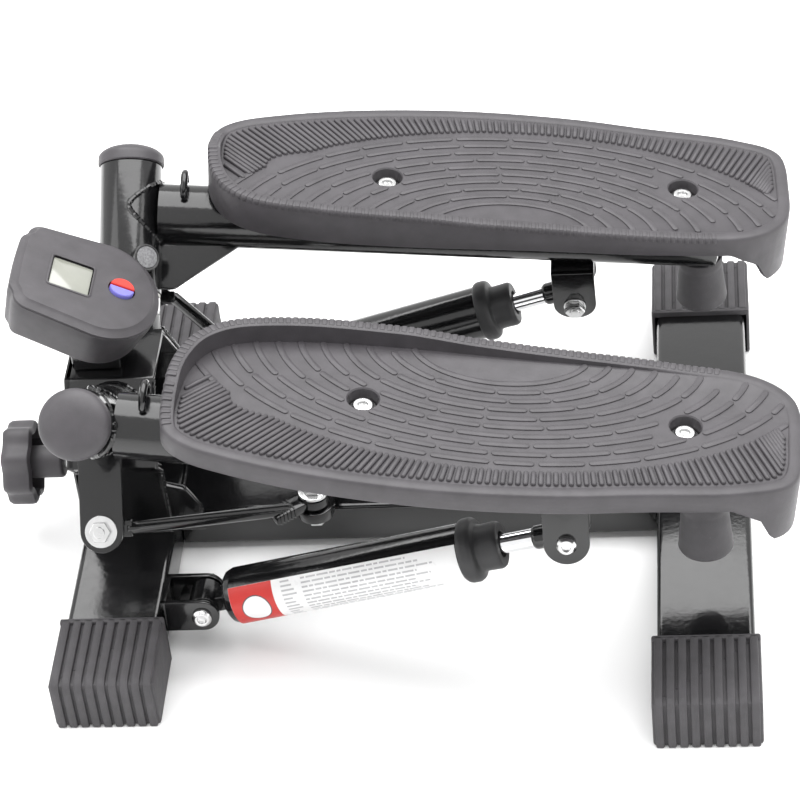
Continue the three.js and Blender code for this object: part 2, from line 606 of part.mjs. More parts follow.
add('front_crossbar', crossbar(0, FRONT_HALF), gloss_paint);
add('rear_crossbar', crossbar(BASE_LENGTH, REAR_HALF), gloss_paint);
add('main_beam', mainBeam(), gloss_paint);
add('pivot_bracket', pivotBracket(), gloss_paint);
addPair('front_foot_cap', footCap(0, FRONT_HALF), rubber);
addPair('rear_foot_cap', footCap(BASE_LENGTH, REAR_HALF), rubber);
addPair('pivot_spindle', spindle(), zinc);
addPair('base_clevis', baseClevis(), gloss_paint);
addPair('clevis_bolt', placed(crossBolt(CLEVIS_GAP + CLEVIS_PLATE), clevisFrame), zinc);

addPair('pivot_sleeve', sleeve(), gloss_paint);
addPair('pivot_bush', bush(), nylon);
addPair('sleeve_cap', sleeveCap(), plastic);
addPair('arm_tube', armTube(), gloss_paint);
addPair('band_hook', bandHook(), gloss_paint);
addPair('tie_ear', tieEar(), gloss_paint);
addPair('ear_bolt', earFastener(), zinc);
addPair('damper_lug', damperLug(), gloss_paint);
addPair('lug_bolt', placed(crossBolt(CLEVIS_GAP + CLEVIS_PLATE), lugFrame), zinc);
addPair('pedal', pedal(), plastic);
addPair('pedal_front_bolt', pedalBolt(FRONT_BOLT), zinc);
addPair('pedal_rear_bolt', pedalBolt(REAR_BOLT), zinc);
addPair('bumper', bumper(), rubber);

addPair('tie_rod', tieRod(), gloss_paint);
add('rocker_lever', rockerLever(), gloss_paint);
add('rocker_pivot_bolt', rockerPivotBolt(), zinc);
addPair('rocker_end_bolt', rockerEndBolt(), zinc);
addPair('damper_cylinder', damperCylinder(), gloss_paint);
addPair('piston_rod', pistonRod(), chrome);

add('adjuster_knob', adjusterKnob(), plastic);
add('adjuster_screw', adjusterScrew(), zinc);
add('console_stem', consoleStem(), gloss_paint);
add('console_housing', consoleHousing(), plastic);
add('console_cover', consoleCover(), plastic);
add('display_window', displayWindow(), glass);
add('circuit_board', circuitBoard(), board);
add('start_button', halfButton(1), red);
add('reset_button', halfButton(-1), blue);
add('counter_magnet', counterMagnet(), magnet_grey);

export default stepper;
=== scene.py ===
"""Looks of the twist stepper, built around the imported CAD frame.

Lengths are millimetres until a mesh is made.
"""

import json
import math

import bmesh
import bpy
from mathutils import Matrix, Vector
from mathutils.geometry import tessellate_polygon


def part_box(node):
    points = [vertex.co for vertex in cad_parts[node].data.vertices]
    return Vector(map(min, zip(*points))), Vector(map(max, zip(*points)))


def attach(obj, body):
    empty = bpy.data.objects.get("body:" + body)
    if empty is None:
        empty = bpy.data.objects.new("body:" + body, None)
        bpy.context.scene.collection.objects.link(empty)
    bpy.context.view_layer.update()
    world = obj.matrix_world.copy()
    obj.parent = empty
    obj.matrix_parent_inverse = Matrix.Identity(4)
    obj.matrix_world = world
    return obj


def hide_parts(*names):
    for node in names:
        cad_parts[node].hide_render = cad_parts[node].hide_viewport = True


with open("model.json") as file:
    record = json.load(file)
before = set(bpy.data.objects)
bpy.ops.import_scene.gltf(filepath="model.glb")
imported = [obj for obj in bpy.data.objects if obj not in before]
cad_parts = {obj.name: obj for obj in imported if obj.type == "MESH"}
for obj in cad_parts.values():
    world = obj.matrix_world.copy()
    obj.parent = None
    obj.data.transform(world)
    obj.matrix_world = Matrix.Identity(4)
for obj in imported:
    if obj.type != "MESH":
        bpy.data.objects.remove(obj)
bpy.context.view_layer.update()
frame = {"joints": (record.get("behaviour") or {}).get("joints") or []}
MM = 0.001
TAU = math.tau
JOINTS = {joint["name"]: joint for joint in frame["joints"]}


# ---------------------------------------------------------------- frames, all for the left side
def basis(origin, z_axis, x_hint=(1, 0, 0)):
    """Matrix whose z is the given axis and whose x is as near as it can be to the hint."""
    z = Vector(z_axis).normalized()
    x = Vector(x_hint)
    x = (x - z * x.dot(z)).normalized()
    turn = Matrix((x, z.cross(x), z)).transposed().to_4x4()
    turn.translation = Vector(origin)
    return turn


def joint_point(name):
    return Vector(JOINTS[name]["pos_m"]) / MM


def box_mm(node):
    low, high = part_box(node)
    return low / MM, high / MM


UP = Vector((0, 0, 1))
PIVOT = joint_point("left_arm_swing")
PIVOT_AXIS = Vector(JOINTS["left_arm_swing"]["axis"])
FRONT_X = PIVOT.x - 2  # middle of the front crossbar
ARM_AXIS = Vector((1, -0.0359, -0.1220)).normalized()
ARM_UP = (UP - ARM_AXIS * ARM_AXIS.z).normalized()
PIVOT_FRAME = basis(PIVOT, PIVOT_AXIS)
ARM_FRAME = basis(PIVOT, ARM_UP, ARM_AXIS)
ALONG_ARM = basis(PIVOT, ARM_AXIS, UP)
DAMPER_BASE = joint_point("left_damper_turn")
DAMPER_TOP = joint_point("left_piston_turn")
DAMPER_AXIS = DAMPER_TOP - DAMPER_BASE
CLEVIS_AXIS = Vector((0, -math.cos(math.radians(8)), math.sin(math.radians(8))))
LUG_AXIS = Vector((0, -math.cos(math.radians(13)), math.sin(math.radians(13))))
CLEVIS_FRAME = basis(DAMPER_BASE, CLEVIS_AXIS)
LUG_FRAME = basis(DAMPER_TOP, LUG_AXIS)
DAMPER_FRAME = basis(DAMPER_BASE, DAMPER_AXIS)
ROD_FRAME = basis(DAMPER_TOP, -DAMPER_AXIS)
ROCKER = joint_point("rocker_turn")
KNOB_Z = joint_point("adjuster_turn").z
ADJUSTER_FRAME = basis((FRONT_X, 0, KNOB_Z), (1, 0, 0), (0, 1, 0))
PRESS_AXIS = Vector(JOINTS["start_press"]["axis"])
CONSOLE_FRAME = basis((FRONT_X, 0, 168), -PRESS_AXIS)


# ---------------------------------------------------------------- shapes: (points, faces) in millimetres
def put(shape, matrix):
    points, faces = shape
    return [matrix @ point for point in points], faces


def merge(*shapes):
    points, faces = [], []
    for some_points, some_faces in shapes:
        shift = len(points)
        points.extend(some_points)
        faces.extend([i + shift for i in face] for face in some_faces)
    return points, faces


def mirror(shape):
    points, faces = shape
    return [Vector((p.x, -p.y, p.z)) for p in points], [face[::-1] for face in faces]


def soften(profile, radius, closed=False, steps=3):
    """Rounds the corners of a polyline."""
    out = []
    count = len(profile)
    for i, corner in enumerate(profile):
        p = Vector(corner)
        if not closed and i in (0, count - 1):
            out.append(tuple(p))
            continue
        before, after = Vector(profile[i - 1]) - p, Vector(profile[(i + 1) % count]) - p
        reach = min(radius, before.length * 0.45, after.length * 0.45)
        a, b = p + before.normalized() * reach, p + after.normalized() * reach
        for k in range(steps + 1):
            t = k / steps
            out.append(tuple(a * (1 - t) ** 2 + p * 2 * t * (1 - t) + b * t * t))
    return out


def lathe(profile, facets=48):
    """Solid of revolution about z; the profile of (radius, z) goes up on the outside."""
    points, rings = [], []
    for radius, z in profile:
        if radius < 1e-6:
            rings.append([len(points)])
            points.append(Vector((0, 0, z)))
            continue
        rings.append(list(range(len(points), len(points) + facets)))
        points.extend(
            Vector((radius * math.cos(TAU * i / facets), radius * math.sin(TAU * i / facets), z))
            for i in range(facets)
        )
    pairs = list(zip(rings, rings[1:]))
    if len(rings[0]) > 1:
        pairs.append((rings[-1], rings[0]))
    faces = []
    for low, high in pairs:
        for i in range(facets):
            j = (i + 1) % facets
            loop = [low[i % len(low)], low[j % len(low)], high[j % len(high)], high[i % len(high)]]
            faces.append(list(dict.fromkeys(loop)))
    return points, faces


def rod(radius, z0, z1, soft=0.4, facets=32):
    return lathe(soften([(0, z0), (radius, z0), (radius, z1), (0, z1)], soft), facets)


def rings_to_shape(rings, close_ends=True):
    """Skin over loops of equal length that go round anticlockwise and upward."""
    count = len(rings[0])
    points = [point for ring in rings for point in ring]
    faces = []
    for level in range(len(rings) - 1):
        for i in range(count):
            a, b = level * count + i, level * count + (i + 1) % count
            faces.append([a, b, b + count, a + count])
    if close_ends:
        faces.append(list(range(count))[::-1])
        faces.append([(len(rings) - 1) * count + i for i in range(count)])
    return points, faces


def prism(outline, z0, z1, soft=0.5):
    """Plate with rounded rims; the outline goes anticlockwise."""
    rings = []
    for inset, z in ((soft, z0), (soft * 0.3, z0 + soft * 0.3), (0, z0 + soft),
                     (0, z1 - soft), (soft * 0.3, z1 - soft * 0.3), (soft, z1)):
        rings.append([Vector((x, y, z)) for x, y in offset(outline, inset)])
    return rings_to_shape(rings)


def offset(outline, inset):
    """Moves a closed anticlockwise outline inward."""
    count = len(outline)
    out = []
    for i in range(count):
        p = Vector(outline[i])
        a, b = p - Vector(outline[i - 1]), Vector(outline[(i + 1) % count]) - p
        na, nb = Vector((-a.y, a.x)).normalized(), Vector((-b.y, b.x)).normalized()
        bisector = (na + nb).normalized()
        out.append(tuple(p + bisector * inset / max(0.5, bisector.dot(na))))
    return out


def block(low, high, soft=0.5):
    (x0, y0, z0), (x1, y1, z1) = low, high
    return prism(soften([(x0, y0), (x1, y0), (x1, y1), (x0, y1)], soft, True), z0, z1, soft)


def arc(radius, start, end, steps, centre=(0, 0)):
    angles = [math.radians(start + (end - start) * i / steps) for i in range(steps + 1)]
    return [(centre[0] + radius * math.cos(a), centre[1] + radius * math.sin(a)) for a in angles]


def tongue(width, start):
    """Strip from y = start (positive) that ends in a half circle round the origin."""
    return [*arc(width / 2, 180, 360, 20), (width / 2, start), (-width / 2, start)]


def tube(path, radius, facets=12, wobble=0.0, seed=0.0):
    """Rod along a path with rounded ends; wobble makes the ripples of a weld bead."""
    points = [Vector(p) for p in path]
    normal = None
    rings = []
    for i, p in enumerate(points):
        tangent = (points[min(i + 1, len(points) - 1)] - points[max(i - 1, 0)]).normalized()
        if normal is None:
            normal = tangent.orthogonal().normalized()
        normal = (normal - tangent * normal.dot(tangent)).normalized()
        side = tangent.cross(normal)
        r = radius * (1 + wobble * math.sin(i * 2.4 + seed) + wobble * 0.6 * math.sin(i * 1.1 + seed * 3))
        if i in (0, len(points) - 1):
            r *= 0.6
        rings.append([p + (normal * math.cos(TAU * k / facets) + side * math.sin(TAU * k / facets)) * r
                      for k in range(facets)])
    return rings_to_shape(rings)


def resample(path, step):
    """Points at about equal steps along a polyline."""
    points = [Vector(p) for p in path]
    out = [points[0]]
    for a, b in zip(points, points[1:]):
        count = max(1, round((b - a).length / step))
        out.extend(a.lerp(b, k / count) for k in range(1, count + 1))
    return out


def weld(path, radius=1.5, seed=0.0):
    return tube(resample(path, 0.9), radius * 0.8, 8, 0.12, seed)


def hexagon(across_flats):
    return arc(across_flats / math.sqrt(3), 0, 300, 5)


def nut(across_flats, z0, z1):
    return prism(hexagon(across_flats), z0, z1, 0.6)


# ---------------------------------------------------------------- materials
def material(name, color, roughness, metallic=0.0, bumps=(), tint=0.15, tint_scale=90,
             rough_spread=0.08, coat=0.0, speckle=0.0):
    """Surface with uneven colour and roughness, and one bump for each (scale, strength, distance)."""
    made = bpy.data.materials.new(name)
    made.use_nodes = True
    tree = made.node_tree
    shader = tree.nodes["Principled BSDF"]
    shader.inputs["Metallic"].default_value = metallic
    shader.inputs["Coat Weight"].default_value = coat
    shader.inputs["Coat Roughness"].default_value = 0.08
    place = tree.nodes.new("ShaderNodeTexCoord").outputs["Object"]

    def noise(scale, detail=3.0):
        node = tree.nodes.new("ShaderNodeTexNoise")
        node.inputs["Scale"].default_value = scale
        node.inputs["Detail"].default_value = detail
        tree.links.new(place, node.inputs["Vector"])
        return node.outputs["Fac"]

    ramp = tree.nodes.new("ShaderNodeValToRGB")
    ramp.color_ramp.elements[0].position = 0.3
    ramp.color_ramp.elements[1].position = 0.7
    ramp.color_ramp.elements[0].color = [*(c * (1 - tint) for c in color), 1]
    ramp.color_ramp.elements[1].color = [*(min(1, c * (1 + tint)) for c in color), 1]
    tree.links.new(noise(tint_scale), ramp.inputs["Fac"])
    base = ramp.outputs["Color"]
    if speckle:
        spots = tree.nodes.new("ShaderNodeMapRange")
        spots.inputs["From Min"].default_value = 0.68
        spots.inputs["From Max"].default_value = 0.74
        spots.inputs["To Max"].default_value = speckle
        tree.links.new(noise(1500, 1.0), spots.inputs["Value"])
        mix = tree.nodes.new("ShaderNodeMixRGB")
        mix.inputs["Color2"].default_value = (0.4, 0.4, 0.4, 1)
        tree.links.new(spots.outputs["Result"], mix.inputs["Fac"])
        tree.links.new(base, mix.inputs["Color1"])
        base = mix.outputs["Color"]
    tree.links.new(base, shader.inputs["Base Color"])
    spread = tree.nodes.new("ShaderNodeMapRange")
    spread.inputs["To Min"].default_value = max(0.02, roughness - rough_spread)
    spread.inputs["To Max"].default_value = roughness + rough_spread
    tree.links.new(noise(tint_scale * 2.3), spread.inputs["Value"])
    tree.links.new(spread.outputs["Result"], shader.inputs["Roughness"])
    normal = None
    for scale, strength, distance in bumps:
        bump = tree.nodes.new("ShaderNodeBump")
        bump.inputs["Strength"].default_value = strength
        bump.inputs["Distance"].default_value = distance
        tree.links.new(noise(scale), bump.inputs["Height"])
        if normal:
            tree.links.new(normal, bump.inputs["Normal"])
        normal = bump.outputs["Normal"]
    if normal:
        tree.links.new(normal, shader.inputs["Normal"])
    return made


MATERIALS = {
    "gloss_paint": material("gloss_black_paint", (0.005, 0.005, 0.0054), 0.15, 0.0,
                            [(420, 0.10, 0.0006), (60, 0.08, 0.002)], coat=0.2, speckle=0.03),
    "rubber": material("grey_rubber", (0.047, 0.0445, 0.048), 0.7, 0.0, [(1500, 0.35, 0.0003)], speckle=0.05),
    "dark_plastic": material("grey_black_moulding", (0.044, 0.0405, 0.045), 0.5, 0.0,
                             [(2600, 0.28, 0.00022), (500, 0.08, 0.0003)], speckle=0.03),
    "zinc": material("bright_zinc", (0.66, 0.66, 0.66), 0.24, 1.0, [(700, 0.12, 0.0003)], tint=0.08),
    "chrome": material("polished_chrome", (0.80, 0.80, 0.81), 0.08, 1.0, [(300, 0.03, 0.0003)], tint=0.03,
                       rough_spread=0.03),
    "nylon": material("natural_nylon", (0.55, 0.55, 0.52), 0.5, 0.0, [(900, 0.1, 0.0003)]),
    "display": material("liquid_crystal", (0.22, 0.225, 0.195), 0.12, 0.0, [(200, 0.02, 0.0003)], tint=0.05,
                        coat=1.0, rough_spread=0.03),
    "board": material("circuit_board", (0.02, 0.13, 0.05), 0.5, 0.0, [(800, 0.2, 0.0003)]),
    "red_key": material("red_key", (0.56, 0.03, 0.02), 0.38, 0.0, [(1500, 0.12, 0.0002)], tint=0.06),
    "blue_key": material("blue_key", (0.16, 0.15, 0.50), 0.38, 0.0, [(1500, 0.12, 0.0002)], tint=0.06),
    "magnet": material("speckled_magnet", (0.16, 0.16, 0.165), 0.6, 0.1, [(1200, 0.4, 0.0003)], tint=0.4,
                       tint_scale=900, speckle=0.2),
}
HEAD_RUBBER = material("black_rubber", (0.018, 0.018, 0.019), 0.5, 0.0, [(1200, 0.2, 0.0003)])
LABEL_WHITE = material("label_white", (0.74, 0.74, 0.74), 0.3, 0.0, [(150, 0.04, 0.0004)], tint=0.03)
LABEL_RED = material("label_red", (0.50, 0.020, 0.015), 0.32, 0.0, [(150, 0.04, 0.0004)], tint=0.05)
LABEL_INK = material("label_ink", (0.06, 0.06, 0.065), 0.35, 0.0, [(150, 0.04, 0.0004)], tint=0.1)
LABEL_GREY = material("label_grey", (0.42, 0.42, 0.43), 0.35, 0.0, [(150, 0.04, 0.0004)], tint=0.1)


# ---------------------------------------------------------------- making pieces
def make(name, shape, body, slot, replaces=(), look=None, crease=32):
    """One visible piece that rides on a CAD body and stands for the CAD nodes it replaces."""
    points, faces = shape
    mesh = bpy.data.meshes.new(name)
    mesh.from_pydata([point * MM for point in points], [], faces)
    mesh.validate()
    work = bmesh.new()
    work.from_mesh(mesh)
    bmesh.ops.remove_doubles(work, verts=work.verts, dist=1e-7)
    bmesh.ops.recalc_face_normals(work, faces=work.faces)
    work.to_mesh(mesh)
    work.free()
    mesh.shade_smooth()
    mesh.set_sharp_from_angle(angle=math.radians(crease))
    piece = bpy.data.objects.new(name, mesh)
    bpy.context.scene.collection.objects.link(piece)
    piece.data.materials.append(look or MATERIALS[slot])
    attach(piece, body)
    if replaces:
        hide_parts(*replaces)
    return piece


def pair(name, shape, body, slot, stands_for=True, **options):
    """The left piece and its mirror image on the right, on a shared body or on each side's own one."""
    for side, one in (("left", shape), ("right", mirror(shape))):
        full = f"{side}_{name}"
        home = body if body in ("base", "rocker") else f"{side}_{body}"
        make(f"{full}_shape", one, home, slot, (full,) if stands_for else (), **options)


def single(name, shape, body, slot, stands_for=True, **options):
    make(f"{name}_shape", shape, body, slot, (name,) if stands_for else (), **options)


# ---------------------------------------------------------------- camera, light, floor
def camera():
    data = bpy.data.cameras.new("camera")
    data.lens = 140.55
    data.sensor_width = 36
    data.clip_end = 20
    eye = bpy.data.objects.new("camera", data)
    azimuth, height, roll = (math.radians(a) for a in (8.00, 39.91, 6.88))
    level_reach = math.cos(height)
    back = Vector((math.sin(azimuth) * level_reach, -math.cos(azimuth) * level_reach, math.sin(height)))
    level = Vector((math.cos(azimuth), math.sin(azimuth), 0))
    above = back.cross(level)
    right = level * math.cos(roll) - above * math.sin(roll)
    top = above * math.cos(roll) + level * math.sin(roll)
    turn = Matrix((right, top, back)).transposed().to_4x4()
    turn.translation = Vector((328.6 + FRONT_X, -1270.9, 1156.0)) * MM
    eye.matrix_world = turn
    bpy.context.scene.collection.objects.link(eye)
    bpy.context.scene.camera = eye


LIGHT_TARGET = Vector((0, 0, 0.08))  # metres, near the middle of the machine


def softbox(name, place, size, power):
    data = bpy.data.lights.new(name, "AREA")
    data.shape = "RECTANGLE"
    data.size, data.size_y = size
    data.energy = power
    lamp = bpy.data.objects.new(name, data)
    lamp.location = place
    lamp.rotation_euler = (LIGHT_TARGET - Vector(place)).to_track_quat("-Z", "Y").to_euler()
    bpy.context.scene.collection.objects.link(lamp)


def studio():
    world = bpy.data.worlds.new("studio")
    world.use_nodes = True
    world.node_tree.nodes["Background"].inputs["Color"].default_value = (1, 1, 1, 1)
    world.node_tree.nodes["Background"].inputs["Strength"].default_value = 1.2
    bpy.context.scene.world = world
    softbox("top", (0.1, 0.3, 1.7), (2.4, 1.9), 62)
    softbox("left", (-1.4, -0.5, 0.9), (0.9, 1.2), 6)
    softbox("right", (1.4, -0.3, 0.8), (0.7, 1.2), 5)
    bpy.context.scene.view_settings.view_transform = "Standard"
    mesh = bpy.data.meshes.new("floor")
    mesh.from_pydata([(-6, -6, 0), (6, -6, 0), (6, 6, 0), (-6, 6, 0)], [], [(0, 1, 2, 3)])
    floor = bpy.data.objects.new("floor", mesh)
    bpy.context.scene.collection.objects.link(floor)
    floor.data.materials.append(material("pale_floor", (0.95, 0.95, 0.95), 0.8, tint=0.01, tint_scale=3))


camera()
studio()


# ---------------------------------------------------------------- base frame
def bar(name, along):
    """Rectangular tube with rounded corners in the box of its CAD node."""
    low, high = box_mm(name)
    middle = (low + high) / 2
    size = high - low
    if along == "y":
        w, half, turn = size.x / 2, size.y / 2, basis(middle, (0, 1, 0))
    else:
        w, half, turn = size.y / 2, size.x / 2, basis(middle, (1, 0, 0), (0, 1, 0))
    h = size.z / 2
    corners = soften([(-w, -h), (w, -h), (w, h), (-w, h)], 3.4, True, 5)
    single(name, put(prism(corners, -half, half, 0.3), turn), "base", "gloss_paint")


bar("front_crossbar", "y")
bar("rear_crossbar", "y")
bar("main_beam", "x")


def foot_cap(node):
    """Rubber cap with ribs that run over the top and down the end."""
    low, high = box_mm(node)
    middle_x = (low.x + high.x) / 2
    half, height = (high.x - low.x) / 2, high.z
    inner, end = -high.y, -low.y  # distances from the machine's middle plane
    groove, ribs = 1.9, 9
    core = merge(block((low.x, -(end - groove), 0), (high.x, -inner, height - groove), 1.6),
                 block((low.x, -(inner + 3.4), 0), (high.x, -inner, height), 1.2))
    side = [(inner + 0.6, height - groove - 2), (inner + 0.6, height), (end - 5, height),
            (end - 1.4, height - 1.6), (end, height - 5), (end, 0.2), (end - groove - 2, 0.2),
            (end - groove - 2, height - groove - 2)]
    side = [(-y, z) for y, z in soften(side, 1.2, True, 2)]
    pitch = (2 * half - 1.2) / ribs
    shapes = [core]
    for k in range(ribs):
        x = -half + 0.6 + pitch * (k + 0.5)
        rib = prism(side, x - pitch * 0.36, x + pitch * 0.36, 0.8)
        shapes.append(put(rib, basis((middle_x, 0, 0), (1, 0, 0), (0, 1, 0))))
    return merge(*shapes)


pair("front_foot_cap", foot_cap("left_front_foot_cap"), "base", "rubber")
pair("rear_foot_cap", foot_cap("left_rear_foot_cap"), "base", "rubber")

BAR_TOP = box_mm("main_beam")[1].z


def bracket():
    """House-shaped bracket: folded plate, front plate, cheeks, pivot bosses and the height screw's nut."""
    depth, wall, foot = 24, 3.5, BAR_TOP + 0.2
    half = [(40, foot), (40, 72), (50, 83), (20.3, 121)]
    inner = [(20.3 - 1.6, 121 - wall), (50 - 4.6, 83), (40 - wall, 73.5), (40 - wall, foot)]
    shell = half + [(-y, z) for y, z in reversed(half)] + [(-y, z) for y, z in reversed(inner)] + inner
    turn = basis((FRONT_X, 0, 0), (1, 0, 0), (0, 1, 0))
    plate_front = soften(half + [(-y, z) for y, z in reversed(half)], 1.0, True)
    cheek = soften([(depth - 3, foot), (42, foot), (42, 44), (34, 58), (depth - 3, 62)], 1.5, True)
    cheek_turn = basis((FRONT_X, 0, 0), (0, -1, 0))
    boss = lathe(soften([(0, -73), (17, -73), (17, -58.3), (0, -58.3)], 0.6), 56)
    one = merge(put(prism(cheek, 36, 39.5, 0.4), cheek_turn), put(boss, PIVOT_FRAME))
    return merge(
        put(prism(soften(shell, 1.2, True, 2), -depth + 0.5, depth, 0.5), turn),
        put(prism(plate_front, -depth - 0.2, -depth + wall, 0.5), turn),
        one, mirror(one),
        put(nut(15.5, -32, -depth + 1), ADJUSTER_FRAME),
    )


single("pivot_bracket", bracket(), "base", "gloss_paint")

ring = [PIVOT_FRAME @ Vector((*point, -69.2)) for point in arc(17.2, 0, 360, 40)]
foot_line = [(FRONT_X - 24, -40, BAR_TOP + 0.6), (FRONT_X + 24, -40, BAR_TOP + 0.6)]
cheek_line = [(FRONT_X + 25, -38, BAR_TOP + 0.5), (FRONT_X + 42, -38, BAR_TOP + 0.5)]
ridge_line = [(FRONT_X + 24, y, z) for y, z in ((-40, BAR_TOP + 1), (-40, 72), (-50, 83), (-21, 120.5))]
pair("bracket_welds", merge(weld(ring, 1.5, 1), weld(foot_line, 1.7, 2), weld(cheek_line, 1.4, 3),
                            weld(ridge_line, 1.2, 4)), "base", "gloss_paint", stands_for=False)
front_line = [(FRONT_X - 24, -40, BAR_TOP + 0.6), (FRONT_X - 24, 40, BAR_TOP + 0.6)]
single("front_weld", weld(front_line, 1.7, 5), "base", "gloss_paint", stands_for=False)
beam_low, beam_high = box_mm("main_beam")
for label, x in (("front", beam_low.x), ("rear", beam_high.x)):
    single(f"beam_{label}_weld", weld([(x, -22, BAR_TOP + 0.1), (x, 22, BAR_TOP + 0.1)], 1.2, x), "base",
           "gloss_paint", stands_for=False)

collar = soften([(0, -58), (16.5, -58), (16.5, -48.4), (8, -48.4), (8, 18.2), (12, 18.2), (12, 20.2),
                 (7.5, 20.2), (7.5, 26), (0, 26)], 0.7)
pair("pivot_spindle", put(lathe(collar, 56), PIVOT_FRAME), "base", "zinc")


def fork(half_gap, plate_thick, width, start):
    """Two round-ended ears joined by a back plate, open at the round end."""
    outline = tongue(width, start)
    outer = half_gap + plate_thick
    ears = [prism(outline, -outer, -half_gap, 0.5), prism(outline, half_gap, outer, 0.5)]
    web = block((-width / 2, start - plate_thick, -outer), (width / 2, start, outer), 0.4)
    return merge(*ears, web)


clevis_back = DAMPER_BASE.x - box_mm("left_base_clevis")[0].x
clevis_turn = CLEVIS_FRAME @ Matrix.Rotation(math.pi / 2, 4, "Z")
pair("base_clevis", put(fork(10.5, 3, 18, clevis_back), clevis_turn), "base", "gloss_paint")


def cross_bolt(half_width):
    face = half_width + 0.1
    socket_head = lathe(soften([(0, face), (5.2, face), (5.2, face + 1.8), (3.8, face + 3.5),
                                (2.4, face + 3.5), (2.4, face + 1.8), (0, face + 1.8)], 0.35), 40)
    stem = rod(3, -face - 6.2, face, 0.4, 28)
    washer = lathe(soften([(0, -face - 1), (6.2, -face - 1), (6.2, -face), (0, -face)], 0.2), 40)
    return merge(socket_head, stem, washer, nut(9.6, -face - 5.4, -face - 1))


pair("clevis_bolt", put(cross_bolt(13.5), CLEVIS_FRAME), "base", "zinc")

# ---------------------------------------------------------------- arms
sleeve = soften([(17, -46), (17, 26), (15.3, 26), (15.3, -46)], 0.5, True)
pair("pivot_sleeve", put(lathe(sleeve, 64), PIVOT_FRAME), "arm", "gloss_paint")
bush = [(16.6, -48.1), (16.6, -46.3), (14.8, -46.3), (14.8, 17.9), (8.3, 17.9), (8.3, -48.1)]
pair("pivot_bush", put(lathe(soften(bush, 0.3, True), 48), PIVOT_FRAME), "arm", "nylon")
dome = [(18.15 * math.cos(t), 30.5 + 7.4 * math.sin(t)) for t in (math.radians(7.5 * k) for k in range(12))]
cap_profile = [(0, 27.6), (13, 27.6), (13, 20.5), (14.8, 20.5), (14.8, 26.3), (17.6, 26.3), (18.15, 26.9)]
pair("sleeve_cap", put(lathe(cap_profile + dome + [(0, 37.9)], 64), PIVOT_FRAME), "arm", "dark_plastic")
arm_profile = [(0, 319), (15.3, 319), (15.3, 16), (17, 16), (17, 319.4), (16.2, 321.2), (14.4, 322), (0, 322)]
gusset_turn = basis(PIVOT, -PIVOT_AXIS.cross(ARM_AXIS), ARM_AXIS)
gusset = prism(soften([(12, -42), (26, -42), (61, -16.2), (12, -16.2)], 2, True), -2, 2, 0.5)
arm_tube = merge(put(lathe(arm_profile, 64), ALONG_ARM), put(gusset, gusset_turn))
pair("arm_tube", arm_tube, "arm", "gloss_paint")


def saddle(radius):
    """Line where the arm tube meets the sleeve, both of one radius."""
    out = []
    into_sleeve = PIVOT_FRAME.inverted()
    direction = into_sleeve.to_3x3() @ ARM_AXIS
    for across in arc(radius, 0, 360, 44):
        point = ALONG_ARM @ Vector((*across, 0))
        local = into_sleeve @ point
        lift = math.sqrt(max(0.0, radius ** 2 - local.y ** 2))
        t = (lift - local.x) / direction.x
        out.append(point + ARM_AXIS * t)
    return out


gusset_edge = [gusset_turn @ Vector((18, -17.4, 2.6)), gusset_turn @ Vector((58, -17.0, 2.6))]
sleeve_edge = [gusset_turn @ Vector((17.6, -41, 2.6)), gusset_turn @ Vector((17.6, -18, 2.6))]
arm_welds = merge(weld(saddle(17.2), 1.9, 1.7), weld(gusset_edge, 1.4, 2), weld(sleeve_edge, 1.4, 3))
pair("arm_welds", arm_welds, "arm", "gloss_paint", stands_for=False)

hook_path = [Vector((30, -7, z)) for z in (16.5, 18, 20)]
for step in range(1, 16):
    bend = math.pi * step / 16
    hook_path.append(Vector((30, -7 * math.cos(bend), 20 + 7.2 * math.sin(bend))))
hook_path += [Vector((30, 7, z)) for z in (20, 18, 16.5)]
pair("band_hook", put(tube(hook_path, 2.0, 14), ARM_FRAME), "arm", "gloss_paint")

EAR_REACH, EAR_LEVEL = 58, -31
ear_outline = [(x, y - EAR_REACH) for x, y in tongue(22.5, EAR_REACH - 16)]
pair("tie_ear", put(prism(ear_outline, EAR_LEVEL, EAR_LEVEL + 4, 0.5), PIVOT_FRAME), "arm", "gloss_paint")
top = EAR_LEVEL + 4
ear_bolt = merge(
    rod(3, -41, top + 7.8, 0.5, 28), nut(10, top + 1.7, top + 6.2),
    lathe(soften([(0, top), (8.4, top), (8.4, top + 1.7), (0, top + 1.7)], 0.35), 48), nut(10, -42, -38),
)
ear_place = PIVOT_FRAME @ Matrix.Translation((0, -EAR_REACH, 0))
pair("ear_bolt", put(ear_bolt, ear_place), "arm", "zinc")

lug_top = 27.5
lug_outline = tongue(23.6, lug_top)
lug = merge(prism(lug_outline, -13.5, -10.5, 0.5), prism(lug_outline, 10.5, 13.5, 0.5),
            block((-11.8, 20.5, -13.5), (11.8, lug_top, 13.5), 0.4))
pair("damper_lug", put(lug, LUG_FRAME), "arm", "gloss_paint")
pair("lug_bolt", put(cross_bolt(13.5), LUG_FRAME), "arm", "zinc")

# ---------------------------------------------------------------- pedals
FRONT_BOLT, REAR_BOLT = 140.1, 300.4
TREAD, SKIRT, APRON = 31.5, 20.6, -1.5
OUTLINE = [
    (-98, 8), (-95.5, -11), (-87.5, -28), (-72, -39.5), (-36, -46.5), (10, -48.5), (80, -47.5), (150, -47),
    (196, -42), (214, -27), (218, 5), (214, 36), (190, 47), (142, 54.5), (100, 61), (40, 64.5), (-20, 61),
    (-62, 53.5), (-84, 46.5), (-94.5, 38), (-98, 26),
]  # from the front bolt: towards the heel, and outward


